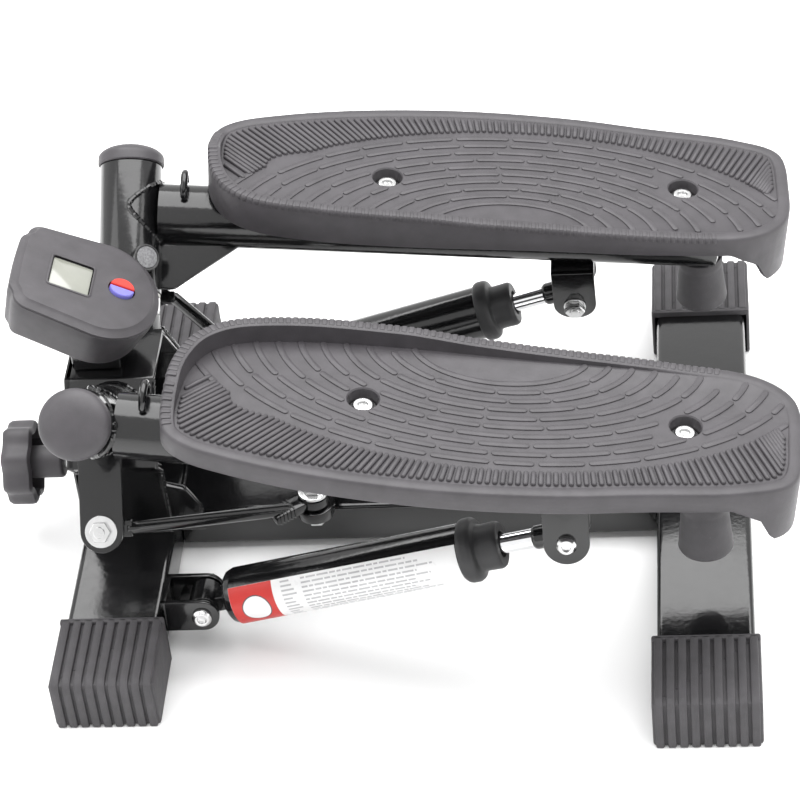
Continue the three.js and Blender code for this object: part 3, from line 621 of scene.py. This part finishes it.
def spline(points, steps):
    """Closed centripetal Catmull-Rom curve."""
    count = len(points)
    out = []
    for i in range(count):
        p0, p1, p2, p3 = (Vector(points[(i + k) % count]) for k in (-1, 0, 1, 2))
        d0, d1, d2 = (math.sqrt((b - a).length) for a, b in ((p0, p1), (p1, p2), (p2, p3)))
        m1 = ((p1 - p0) / d0 - (p2 - p0) / (d0 + d1) + (p2 - p1) / d1) * d1
        m2 = ((p2 - p1) / d1 - (p3 - p1) / (d1 + d2) + (p3 - p2) / d2) * d1
        for k in range(steps):
            t = k / steps
            out.append(p1 * (2 * t ** 3 - 3 * t * t + 1) + m1 * (t ** 3 - 2 * t * t + t)
                       + p2 * (3 * t * t - 2 * t ** 3) + m2 * (t ** 3 - t * t))
    return out


def even(points, count):
    """The closed curve again, with points at equal steps."""
    loop = points + [points[0]]
    lengths = [0.0]
    for a, b in zip(loop, loop[1:]):
        lengths.append(lengths[-1] + (b - a).length)
    out, i = [], 0
    for k in range(count):
        target = lengths[-1] * k / count
        while lengths[i + 1] < target:
            i += 1
        share = (target - lengths[i]) / (lengths[i + 1] - lengths[i])
        out.append(tuple(loop[i].lerp(loop[i + 1], share)))
    return out


def ramp(x, table):
    """Straight lines between the (x, value) pairs of a table."""
    if x <= table[0][0]:
        return table[0][1]
    for (x0, v0), (x1, v1) in zip(table, table[1:]):
        if x <= x1:
            return v0 + (v1 - v0) * (x - x0) / (x1 - x0)
    return table[-1][1]


# anticlockwise in the arm's own x and y (y inward)
EDGE = even(spline([(x + FRONT_BOLT, -y) for x, y in OUTLINE], 16), 260)
if sum(a[0] * b[1] - b[0] * a[1] for a, b in zip(EDGE, EDGE[1:] + EDGE[:1])) < 0:
    EDGE = EDGE[::-1]
RIDGE_TOP = [(40, 42.5), (100, 42.5), (160, 40.5), (190, 37.5), (250, 34.4), (300, 32.4), (330, 32.2)]
SKIRT_LINE = [(325, SKIRT), (340, 12), (347, APRON)]


def inner_share(x, y):
    """1 where the raised ridge is, 0 along the outer edge; it runs out across the toe."""
    if x < 70:
        return ramp(y, [(-36, 0.0), (-22, 0.26), (-6, 1.0)])
    return ramp(y, [(5, 0.0), (20, 1.0)])


def wall_top(x, y):
    return TREAD + 0.9 + (ramp(x, RIDGE_TOP) - TREAD - 0.9) * inner_share(x, y)


def pedal_shell():
    insets = {key: offset(EDGE, key) for key in (0.0, 0.5, 1.4, 3.5, 6.0, 6.8, 7.2)}

    def ring_at(inset, height):
        return [Vector((px, py, height(ex, ey))) for (px, py), (ex, ey) in zip(insets[inset], EDGE)]

    def bottom(x):
        return ramp(x, SKIRT_LINE)

    levels = [
        ring_at(3.5, lambda x, y: TREAD - 5),
        ring_at(3.5, lambda x, y: bottom(x) + 0.3),
        ring_at(1.4, lambda x, y: bottom(x)),
        ring_at(0.5, lambda x, y: bottom(x) + 0.2),
        ring_at(0.0, lambda x, y: bottom(x) + 1.0),
        ring_at(0.0, lambda x, y: wall_top(x, y) - 2.0),
        ring_at(0.5, lambda x, y: wall_top(x, y) - 0.6),
        ring_at(1.4, lambda x, y: wall_top(x, y)),
        ring_at(6.0, lambda x, y: wall_top(x, y)),
        ring_at(6.8, lambda x, y: wall_top(x, y) - 0.5),
        ring_at(7.2, lambda x, y: TREAD),
    ]
    points, faces = rings_to_shape(levels, close_ends=False)
    count = len(EDGE)
    for start, z, flip in ((0, TREAD - 5, True), (len(points) - count, TREAD, False)):
        loops = [[(p.x, p.y) for p in points[start:start + count]]]
        ids = list(range(start, start + count))
        for x in (FRONT_BOLT, REAR_BOLT):
            radius = 11 if flip else 8.6
            circle = arc(radius, 0, 360 - 360 / 40, 39, (x, 0))
            loops.append(circle[::-1])
            ids.extend(range(len(points), len(points) + 40))
            points.extend(Vector((cx, cy, z)) for cx, cy in circle[::-1])
        for a, b, c in tessellate_polygon([[Vector((x, y, 0)) for x, y in loop] for loop in loops]):
            triangle = [ids[a], ids[b], ids[c]]
            p, q, r = (points[k] for k in triangle)
            if ((q - p).cross(r - p).z < 0) != flip:
                triangle.reverse()
            faces.append(triangle)
    wells = []
    for x in (FRONT_BOLT, REAR_BOLT):
        rings = []
        for radius, z in ((8.6, TREAD), (8.0, TREAD - 0.7), (8.0, 23.2), (3.4, 23.2), (3.4, 17.4),
                          (11, 17.4), (11, TREAD - 5)):
            rings.append([Vector((cx, cy, z)) for cx, cy in arc(radius, 0, 351, 39, (x, 0))])
        wells.append(rings_to_shape(rings, close_ends=False))
    return merge((points, faces), *wells)


pair("pedal", put(pedal_shell(), ARM_FRAME), "arm", "dark_plastic", crease=38)


def raised(outline, half_width, z0, height):
    """Low bar over an outline, narrower at its top."""
    levels = ((0, z0), (0.1, z0 + height * 0.65), (half_width * 0.45, z0 + height))
    return rings_to_shape([[Vector((x, y, z)) for x, y in offset(outline, inset)] for inset, z in levels])


def slug(start, end, half_width, z0, height):
    """Raised rib with round ends between two points of the tread."""
    a, b = Vector(start), Vector(end)
    along = (b - a).normalized()
    angle = math.degrees(math.atan2(along.y, along.x))
    outline = arc(half_width, angle + 90, angle + 270, 5, a) + arc(half_width, angle - 90, angle + 90, 5, b)
    return raised(outline, half_width, z0, height)


def curved_slug(path, half_width, z0, height):
    """Raised rib along a curved path."""
    points = [Vector(p) for p in path]
    left, right = [], []
    for i, p in enumerate(points):
        tangent = (points[min(i + 1, len(points) - 1)] - points[max(i - 1, 0)]).normalized()
        normal = Vector((-tangent.y, tangent.x)) * half_width
        left.append(tuple(p + normal))
        right.append(tuple(p - normal))
    ends = []
    for p, q in ((points[-1], points[-2]), (points[0], points[1])):
        away = (p - q).normalized()
        angle = math.degrees(math.atan2(away.y, away.x))
        ends.append(arc(half_width, angle - 90, angle + 90, 5, p)[1:-1])
    outline = right + ends[0] + left[::-1] + ends[1]
    return raised(outline, half_width, z0, height)


RIB = 1.3  # half width of a border rib
RIB_HEIGHT = 1.6
RIB_PITCH = 3.7  # also of the teeth along the ridge
RIB_REACH = 30  # the longest that a border rib may be
TREAD_MARGIN = 8.6  # from the pedal's edge to the nearest raised bar
BAR_WIDTH, BAR_HEIGHT = 1.7, 0.95  # half width and height of the bars along the arcs
BOLT_CLEAR = 10.6  # round each bolt well
SINK = 0.1  # how far raised bars start below the tread


def distance_to_edge(x, y):
    return min(math.hypot(x - ex, y - ey) for ex, ey in EDGE[::2])


CENTRE = Vector((FRONT_BOLT + 65.5, 47.5))  # the arcs of the tread spread from here
ARC_A, ARC_B, ARC_STEP_A, ARC_STEP_B, ARC_ROWS = 45, 27.5, 11.5, 6.55, 13


def arc_number(p):
    """Which arc a point lies on, counted from the smooth middle."""
    low, high = -2.0, 40.0
    for _ in range(24):
        n = (low + high) / 2
        a, b = ARC_A + ARC_STEP_A * n, ARC_B + ARC_STEP_B * n
        if ((p.x - CENTRE.x) / a) ** 2 + ((p.y - CENTRE.y) / b) ** 2 > 1:
            low = n
        else:
            high = n
    return n


BORDER_START = 9.9  # the arc where the border ribs end


def border_ribs():
    """Short ribs side by side along the outer edge."""
    shapes = []
    inner = [Vector(p) for p in offset(EDGE, 9.6)]
    lengths = [0.0]
    for a, b in zip(inner, inner[1:]):
        lengths.append(lengths[-1] + (b - a).length)
    target, i = 0.0, 0
    while target < lengths[-1] - 1:
        while lengths[i + 1] < target:
            i += 1
        start = inner[i].lerp(inner[i + 1], (target - lengths[i]) / (lengths[i + 1] - lengths[i]))
        target += RIB_PITCH
        if start.y > (-3 if start.x < 90 else 2):
            continue
        lean = ramp(start.x, [(50, 1.0), (110, 0.75), (190, 0.1), (250, -0.1), (300, -0.35), (345, -0.5)])
        direction = Vector((lean, 1)).normalized()
        length = 0.0
        while length < RIB_REACH:
            tip = start + direction * (length + RIB)
            at_rim = distance_to_edge(tip.x, tip.y) < TREAD_MARGIN and length > 3
            if at_rim or arc_number(tip) < BORDER_START:
                break
            length += 0.5
        if length > 4:
            shapes.append(slug(start, start + direction * length, RIB, TREAD - SINK, RIB_HEIGHT))
    return shapes


def tread_pattern():
    """The border, and broken arcs about the middle of the inner edge."""
    shapes = border_ribs()
    for row in range(ARC_ROWS):
        a, b = ARC_A + ARC_STEP_A * row, ARC_B + ARC_STEP_B * row
        samples = []
        for k in range(701):
            t = math.pi * k / 700
            samples.append(Vector((CENTRE.x - a * math.cos(t), CENTRE.y - b * math.sin(t))))
        run, length = [], 0.0
        target = 20 + (row * 7) % 11
        skip = (row * 37) % 13
        for p, q in zip(samples, samples[1:]):
            inside = distance_to_edge(p.x, p.y) > (TREAD_MARGIN if p.y > 0 else 11) and point_inside(p)
            inside = inside and (row < BORDER_START or p.y > 2)
            inside = inside and all(math.hypot(p.x - x, p.y) > BOLT_CLEAR for x in (FRONT_BOLT, REAR_BOLT))
            piece = (q - p).length
            if skip > 0 and row:
                skip -= piece
                continue
            if inside and (length < target or row == 0):
                run.append(p)
                length += piece
                continue
            if length > 6:
                shapes.append(raised_dash(run))
                skip = 3.4
                target = 17 + (row * 5 + len(shapes) * 3) % 12
            run, length = [], 0.0
    return merge(*shapes)


def raised_dash(path):
    """Wide low bar along an arc."""
    path = path[::4] + ([path[-1]] if (len(path) - 1) % 4 else [])
    return curved_slug([tuple(p) for p in path], BAR_WIDTH, TREAD - SINK, BAR_HEIGHT)


def point_inside(p):
    """Whether a point lies within the pedal's edge."""
    inside = False
    for (x0, y0), (x1, y1) in zip(EDGE, EDGE[1:] + EDGE[:1]):
        if (y0 > p.y) != (y1 > p.y) and p.x < (x1 - x0) * (p.y - y0) / (y1 - y0) + x0:
            inside = not inside
    return inside


pair("tread_ribs", put(tread_pattern(), ARM_FRAME), "arm", "dark_plastic", stands_for=False, crease=50)


def ridge_teeth():
    """Fine ribs across the top of the raised ridge and down its outside."""
    shapes = []
    lengths = [0.0]
    for a, b in zip(EDGE, EDGE[1:] + EDGE[:1]):
        lengths.append(lengths[-1] + math.dist(a, b))
    target, i = 0.0, 0
    while target < lengths[-1] - 2:
        while lengths[i + 1] < target:
            i += 1
        share = (target - lengths[i]) / (lengths[i + 1] - lengths[i])
        target += RIB_PITCH
        j = (i + 1) % len(EDGE)
        edge = Vector(EDGE[i]).lerp(Vector(EDGE[j]), share)
        if inner_share(*edge) < 0.05 or edge.x > 318:
            continue
        middle = Vector(INSET_MID[i]).lerp(Vector(INSET_MID[j]), share)
        outward = (edge - middle).normalized()
        place = (middle.x, middle.y, wall_top(*edge))
        turn = basis(place, (outward.y, -outward.x, 0), (outward.x, outward.y, 0))
        profile = soften([(-2.3, -0.5), (2.8, -3.0), (3.6, -3.0), (3.5, -1.0), (2.6, 0.35), (-2.0, 0.35)],
                         0.4, True, 2)
        shapes.append(put(prism(profile, -1.25, 1.25, 0.28), turn))
    return merge(*shapes)


INSET_MID = offset(EDGE, 3.4)
pair("ridge_teeth", put(ridge_teeth(), ARM_FRAME), "arm", "dark_plastic", stands_for=False, crease=50)


def pedal_bolt(x):
    floor, head = 23.4, 27.9
    shape = merge(
        lathe(soften([(0, floor), (7.4, floor), (7.4, floor + 1.2), (0, floor + 1.2)], 0.3), 40),
        lathe(soften([(0, floor + 1.2), (5.3, floor + 1.2), (5.3, head - 0.6), (4.7, head), (2.6, head),
                      (2.6, head - 2), (0, head - 2)], 0.3), 40),
        rod(3, 6, floor + 0.2, 0.4, 24),
    )
    return put(shape, ARM_FRAME @ Matrix.Translation((x, 0, 0)))


pair("pedal_front_bolt", pedal_bolt(FRONT_BOLT), "arm", "zinc")
pair("pedal_rear_bolt", pedal_bolt(REAR_BOLT), "arm", "zinc")

bumper_top = PIVOT + ARM_AXIS * 312
bumper_frame = basis(bumper_top, (0, 0.074, 0.997))
bumper_profile = [(0, -46), (11.2, -46), (13.2, -45.2), (14.2, -43.4), (13.9, -42), (12.0, -20),
                  (12.4, -17.6), (12.4, -13), (0, -13)]
pair("bumper", put(lathe(soften(bumper_profile, 0.8), 56), bumper_frame), "arm", "rubber")

# ---------------------------------------------------------------- linkage
ROCKER_REACH = 32.5
rocker_outline = arc(10, 0, 180, 20, (0, ROCKER_REACH)) + arc(10, 180, 360, 20, (0, -ROCKER_REACH))
rocker_frame = Matrix.Translation((ROCKER.x, 0, 0))
single("rocker_lever", put(prism(rocker_outline, 32.3, 39.3, 0.7), rocker_frame), "rocker", "gloss_paint")
pivot_profile = [(0, BAR_TOP), (9, BAR_TOP), (9, 32), (4, 32), (4, 39.6), (9, 39.6), (9, 41.2), (0, 41.2)]
pivot_bolt = merge(lathe(soften(pivot_profile, 0.3), 40), nut(13, 41.2, 46.2), rod(4, 46, 48, 0.5, 24))
single("rocker_pivot_bolt", put(pivot_bolt, rocker_frame), "base", "zinc")
end_bolt = merge(rod(3, 25.5, 53.4, 0.5, 24), nut(10, 27, 31.8), nut(10, 48.6, 52.6),
                 lathe(soften([(0, 47.1), (8.3, 47.1), (8.3, 48.6), (0, 48.6)], 0.3), 40))
pair("rocker_end_bolt", put(end_bolt, Matrix.Translation((ROCKER.x, -ROCKER_REACH, 0))), "rocker", "zinc")

EYE = 6  # thickness of a tie rod's eye
eye_level = EAR_LEVEL - 0.5 - EYE / 2
rocker_eye = Vector((ROCKER.x, -ROCKER_REACH, 43.2))
near_end = PIVOT_FRAME @ Vector((14, -EAR_REACH + 1, eye_level))
far_frame = basis(rocker_eye, UP, near_end - rocker_eye)
far_end = far_frame @ Vector((15, 0, 0))


def eye(outer, hole, half):
    return lathe(soften([(outer, -half), (outer, half), (hole, half), (hole, -half)], 0.5, True), 40)


shaft = tube(resample([near_end - (far_end - near_end).normalized() * 3, near_end,
                       far_end, far_end + (far_end - near_end).normalized() * 3], 4), 3.5, 20)
near_tab = block((2, -3.5, -EYE / 2), (15, 5.5, EYE / 2), 0.8)
far_tab = block((7, -4.6, -EYE / 2), (26, 4.6, EYE / 2), 1.0)
grip_half = EYE / 2 + 0.4
grips = [block((x, -5.1, -grip_half), (x + 1.1, 5.1, grip_half), 0.4) for x in (14, 16.2, 18.4, 20.6, 22.8)]
tie_rod = merge(
    shaft,
    put(merge(eye(8, 3.3, EYE / 2), near_tab), PIVOT_FRAME @ Matrix.Translation((0, -EAR_REACH, eye_level))),
    put(merge(eye(8.2, 4.3, EYE / 2), far_tab, *grips), far_frame),
)
pair("tie_rod", tie_rod, "tie_rod", "gloss_paint")

# ---------------------------------------------------------------- dampers
barrel = [(0, 13.5), (8.5, 13.5), (11.6, 14.2), (13.8, 16.0), (15, 19.4), (15, 147.5), (12.5, 147.5),
          (12.5, 22), (11, 20.5), (0, 20.5)]
head = [(15.1, 145.6), (16.3, 146.2), (16.9, 148.0), (16.9, 151.6), (15.8, 153.6), (12.6, 154.8),
        (12.2, 156.6), (12.4, 164.6), (11.4, 166.3), (6.9, 166.4), (6.9, 161), (12.2, 160), (12.2, 148.2),
        (15.1, 148.2)]
neck_frame = basis(DAMPER_BASE, DAMPER_AXIS, CLEVIS_AXIS)
cylinder = merge(
    put(lathe(soften(barrel, 0.5), 72), DAMPER_FRAME),
    put(block((-5.5, -4.3, 6), (5.5, 4.3, 16.5), 0.8), neck_frame),
    put(eye(8.6, 4.4, 9), CLEVIS_FRAME),
)
pair("damper_cylinder", cylinder, "damper", "gloss_paint")
pair("damper_head", put(lathe(soften(head, 0.6, True), 64), DAMPER_FRAME), "damper", "rubber",
     stands_for=False, look=HEAD_RUBBER)
piston = lathe(soften([(0, 18), (5, 18), (5, 122), (10.5, 122), (10.5, 130), (0, 130)], 0.4), 48)
pair("piston_rod", put(piston, ROD_FRAME), "piston", "chrome")
rod_end = merge(put(lathe(soften([(0, 5), (6.2, 5), (6.2, 16.6), (5.4, 18), (0, 18)], 0.6), 40), ROD_FRAME),
                put(eye(9.2, 3.7, 9), LUG_FRAME))
pair("rod_end", rod_end, "piston", "gloss_paint", stands_for=False)


def cylinder_patch(z0, z1, a0, a1, radius, thick=0.12):
    """Thin curved sheet on the barrel between two heights and two angles in degrees."""
    steps = max(2, int(abs(a1 - a0) / 5))
    outline = []
    for r in (radius, radius + thick):
        for z in (z0, z1):
            outline.append([Vector((*point, z)) for point in arc(r, a0, a1, steps)])
    rings = [outline[0], outline[1], outline[3], outline[2]]
    points = [p for row in rings for p in row]
    width = steps + 1
    faces = []
    for side in range(4):
        low, high = side * width, ((side + 1) % 4) * width
        for k in range(steps):
            faces.append([low + k, high + k, high + k + 1, low + k + 1])
    faces.append([0, 3 * width, 2 * width, width])
    faces.append([steps, width + steps, 2 * width + steps, 3 * width + steps])
    return points, faces


def label():
    """Plain wrap with a coloured end, a round spot and neutral bars where a real one has print."""
    inverse = DAMPER_FRAME.inverted().to_3x3()
    facing = inverse @ Vector((0.1, -0.76, 0.64))
    middle = math.degrees(math.atan2(facing.y, facing.x))
    wrap = cylinder_patch(19.2, 145.2, middle - 20, middle + 100, 15.04)
    red = cylinder_patch(19.3, 43.5, middle - 19.6, middle + 99, 15.16)
    parts = {"label_wrap": (wrap, LABEL_WHITE), "label_band": (red, LABEL_RED)}

    def spot(reach, radius):
        """Round patch on the barrel."""
        points, faces, steps = [], [], 32
        for ring in range(5):
            for k in range(steps):
                turn = TAU * k / steps
                out = reach * (4 - ring) / 4 + 0.01
                around = math.radians(middle + 33) + out * math.sin(turn) / 15
                height = 32.5 + out * math.cos(turn)
                points.append(Vector((radius * math.cos(around), radius * math.sin(around), height)))
        for ring in range(4):
            for k in range(steps):
                p, q = ring * steps + k, ring * steps + (k + 1) % steps
                faces.append([p, p + steps, q + steps, q])
        return points, faces

    parts["label_ring"] = (spot(8.0, 15.30), LABEL_INK)
    parts["label_spot"] = (spot(7.4, 15.36), LABEL_WHITE)
    bars = []
    for row in range(11):
        angle = middle - 13 + row * 9.2
        bars.append(cylinder_patch(48.5, 53.5 + (row * 5) % 4, angle - 1.8, angle + 1.8, 15.16, 0.08))
        z, end = 60.0, 118 + (row * 7) % 16
        while z < end:
            word = 2.2 + (row * 3 + int(z)) % 5
            bars.append(cylinder_patch(z, min(z + word, end), angle - 1.8, angle + 1.8, 15.16, 0.08))
            z += word + 0.9
    parts["label_bars"] = (merge(*bars), LABEL_GREY)
    for name, (shape, look) in parts.items():
        make(f"left_{name}", put(shape, DAMPER_FRAME), "left_damper", "gloss_paint", look=look)


label()

# ---------------------------------------------------------------- height adjuster
LOBES = 8


def lobed(radius, depth):
    """Round outline that swells into lobes."""
    out = []
    steps = LOBES * 24
    for k in range(steps):
        angle = TAU * k / steps
        reach = radius + depth * math.cos(LOBES * angle)
        out.append((reach * math.cos(angle), reach * math.sin(angle)))
    return out


grip = lobed(21.8, 1.4)
knob_rings = []
for inset, x in ((4.2, -70), (1.4, -69.6), (0.2, -67.8), (0, -66), (0, -57), (0.4, -55), (1.6, -54),
                 (3.0, -53.6), (4.0, -54.4), (4.2, -65)):
    knob_rings.append([Vector((px, py, x)) for px, py in offset(grip, inset)])
hub_profile = [(0, -69), (9, -69), (9, -40), (8, -38.5), (0, -38.5)]
knob = merge(rings_to_shape(knob_rings), lathe(soften(hub_profile, 0.8), 48))
single("adjuster_knob", put(knob, ADJUSTER_FRAME), "adjuster_knob", "dark_plastic")
single("adjuster_screw", put(rod(4, -41, -15, 0.8, 32), ADJUSTER_FRAME), "adjuster_screw", "zinc")


# ---------------------------------------------------------------- console
def shield(grow):
    """Console outline, anticlockwise: wide and round towards the user."""
    steps = 26
    quarter = math.pi / 2

    def ellipse(cx, cy, rx, ry, start, end):
        return [(cx + rx * math.cos(t), cy + ry * math.sin(t))
                for t in (start + (end - start) * k / steps for k in range(steps + 1))]

    points = (ellipse(2, 0, 27 + grow, 33 + grow, -quarter, quarter)
              + ellipse(-34, 24.5, 4.2 + grow, 5 + grow, quarter, 2 * quarter)
              + [(-41 - grow - 0.8 * math.cos(k * quarter / 6), 24.5 * -k / 6) for k in range(-5, 6)]
              + ellipse(-34, -24.5, 4.2 + grow, 5 + grow, 2 * quarter, 3 * quarter))
    return even([Vector(p) for p in points], 120)


def shield_stack(levels):
    return rings_to_shape([[Vector((x, y, z)) for x, y in shield(grow)] for grow, z in levels])


housing = shield_stack([(-3.5, -28), (-2.2, -27.7), (-0.6, -26.4), (0.6, -24.6), (4.2, -9), (4.5, -7),
                        (4.5, -4.3), (4.2, -4)])
single("console_housing", put(housing, CONSOLE_FRAME), "base", "dark_plastic")
WINDOW = (-27, -4.6, -12.6, 10.6)  # least and greatest x, then y
BUTTON = (11.7, 1.5)  # middle of the two keys
x0, x1, y0, y1 = WINDOW
pane_loop = soften([(x0, y0), (x1, y0), (x1, y1), (x0, y1)], 1.6, True, 4)
well_loop = arc(7.4, 0, 351, 39, BUTTON)


def console_cover():
    """Face with a window and a key well, and the short walls that go down from both."""
    top = 0.1
    face = [(4.2, -3.9), (4.5, -3.5), (4.3, -2.9), (1.9, -1.5), (0.9, -0.7), (0.3, -0.1), (-0.6, top)]
    rings = [[Vector((x, y, z)) for x, y in shield(grow)] for grow, z in face]
    points, faces = rings_to_shape(rings, close_ends=False)
    holes = [pane_loop[::-1], well_loop[::-1]]
    rim_size = len(rings[0])
    ids = list(range((len(face) - 1) * rim_size, len(face) * rim_size))
    loops = [[(p.x, p.y) for p in points[ids[0]:ids[-1] + 1]]]
    for hole in holes:
        ids.extend(range(len(points), len(points) + len(hole)))
        loops.append(hole)
        points.extend(Vector((x, y, top)) for x, y in hole)
    for a, b, c in tessellate_polygon([[Vector((x, y, 0)) for x, y in loop] for loop in loops]):
        triangle = [ids[a], ids[b], ids[c]]
        p, q, r = (points[k] for k in triangle)
        if (q - p).cross(r - p).z < 0:
            triangle.reverse()
        faces.append(triangle)
    walls = [rings_to_shape([[Vector((x, y, z)) for x, y in hole] for z in (top, -3.2)], close_ends=False)
             for hole in holes]
    return merge((points, faces), *walls)


single("console_cover", put(console_cover(), CONSOLE_FRAME), "base", "dark_plastic")
bezel = [(x0 + 0.4, y0 + 0.4), (x1 - 0.4, y0 + 0.4), (x1 - 0.4, y1 - 0.4), (x0 + 0.4, y1 - 0.4)]
pane = prism(soften(bezel, 1.4, True, 4), -4.5, -0.7, 0.3)
single("display_window", put(pane, CONSOLE_FRAME), "base", "display")

rim_loop = offset(pane_loop, -1.2)
rim_rings = [[Vector((x, y, z)) for x, y in loop]
             for loop, z in ((rim_loop, 0.0), (rim_loop, 0.45), (offset(pane_loop, -0.5), 0.75),
                             (pane_loop, 0.45), (pane_loop, -0.6))]
display_rim = rings_to_shape(rim_rings, close_ends=False)
make("display_rim", put(display_rim, CONSOLE_FRAME), "base", "dark_plastic")
single("circuit_board", put(block((-34, -24, -15), (20, 24, -13.4), 0.2), CONSOLE_FRAME), "base", "board")


def half_key(side):
    inset = 0.25
    outline = arc(6.6, 2, 178, 30, (0, inset))
    rings = [[Vector((x, y, z)) for x, y in offset(outline, grow)]
             for grow, z in ((0, -4), (0, 1.3), (0.2, 1.8), (0.6, 2.1))]
    key = rings_to_shape(rings)
    turn = Matrix.Translation((*BUTTON, 0)) @ Matrix.Rotation(0 if side > 0 else math.pi, 4, "Z")
    return put(put(key, turn), CONSOLE_FRAME)


single("start_button", half_key(1), "start_button", "red_key")
single("reset_button", half_key(-1), "reset_button", "blue_key")
stem_low, stem_high = box_mm("console_stem")
single("console_stem", block(tuple(stem_low), tuple(stem_high), 1.5), "base", "gloss_paint")

MAGNET_ANGLE = math.radians(35)  # round the sleeve
magnet_axis = PIVOT_FRAME.to_3x3() @ Vector((math.sin(MAGNET_ANGLE), math.cos(MAGNET_ANGLE), 0))
magnet_frame = basis(PIVOT_FRAME @ Vector((0, 0, -30)), magnet_axis)
rim = mirror(put(lathe(soften([(0, 16), (7.4, 16), (7.4, 23), (6.2, 23), (6.2, 22.2), (0, 22.2)], 0.4), 48),
                 magnet_frame))
single("counter_magnet", rim, "right_arm", "magnet", look=MATERIALS["gloss_paint"])
disc_face = mirror(put(rod(6.0, 22.1, 22.7, 0.2, 40), magnet_frame))
make("magnet_disc", disc_face, "right_arm", "magnet")
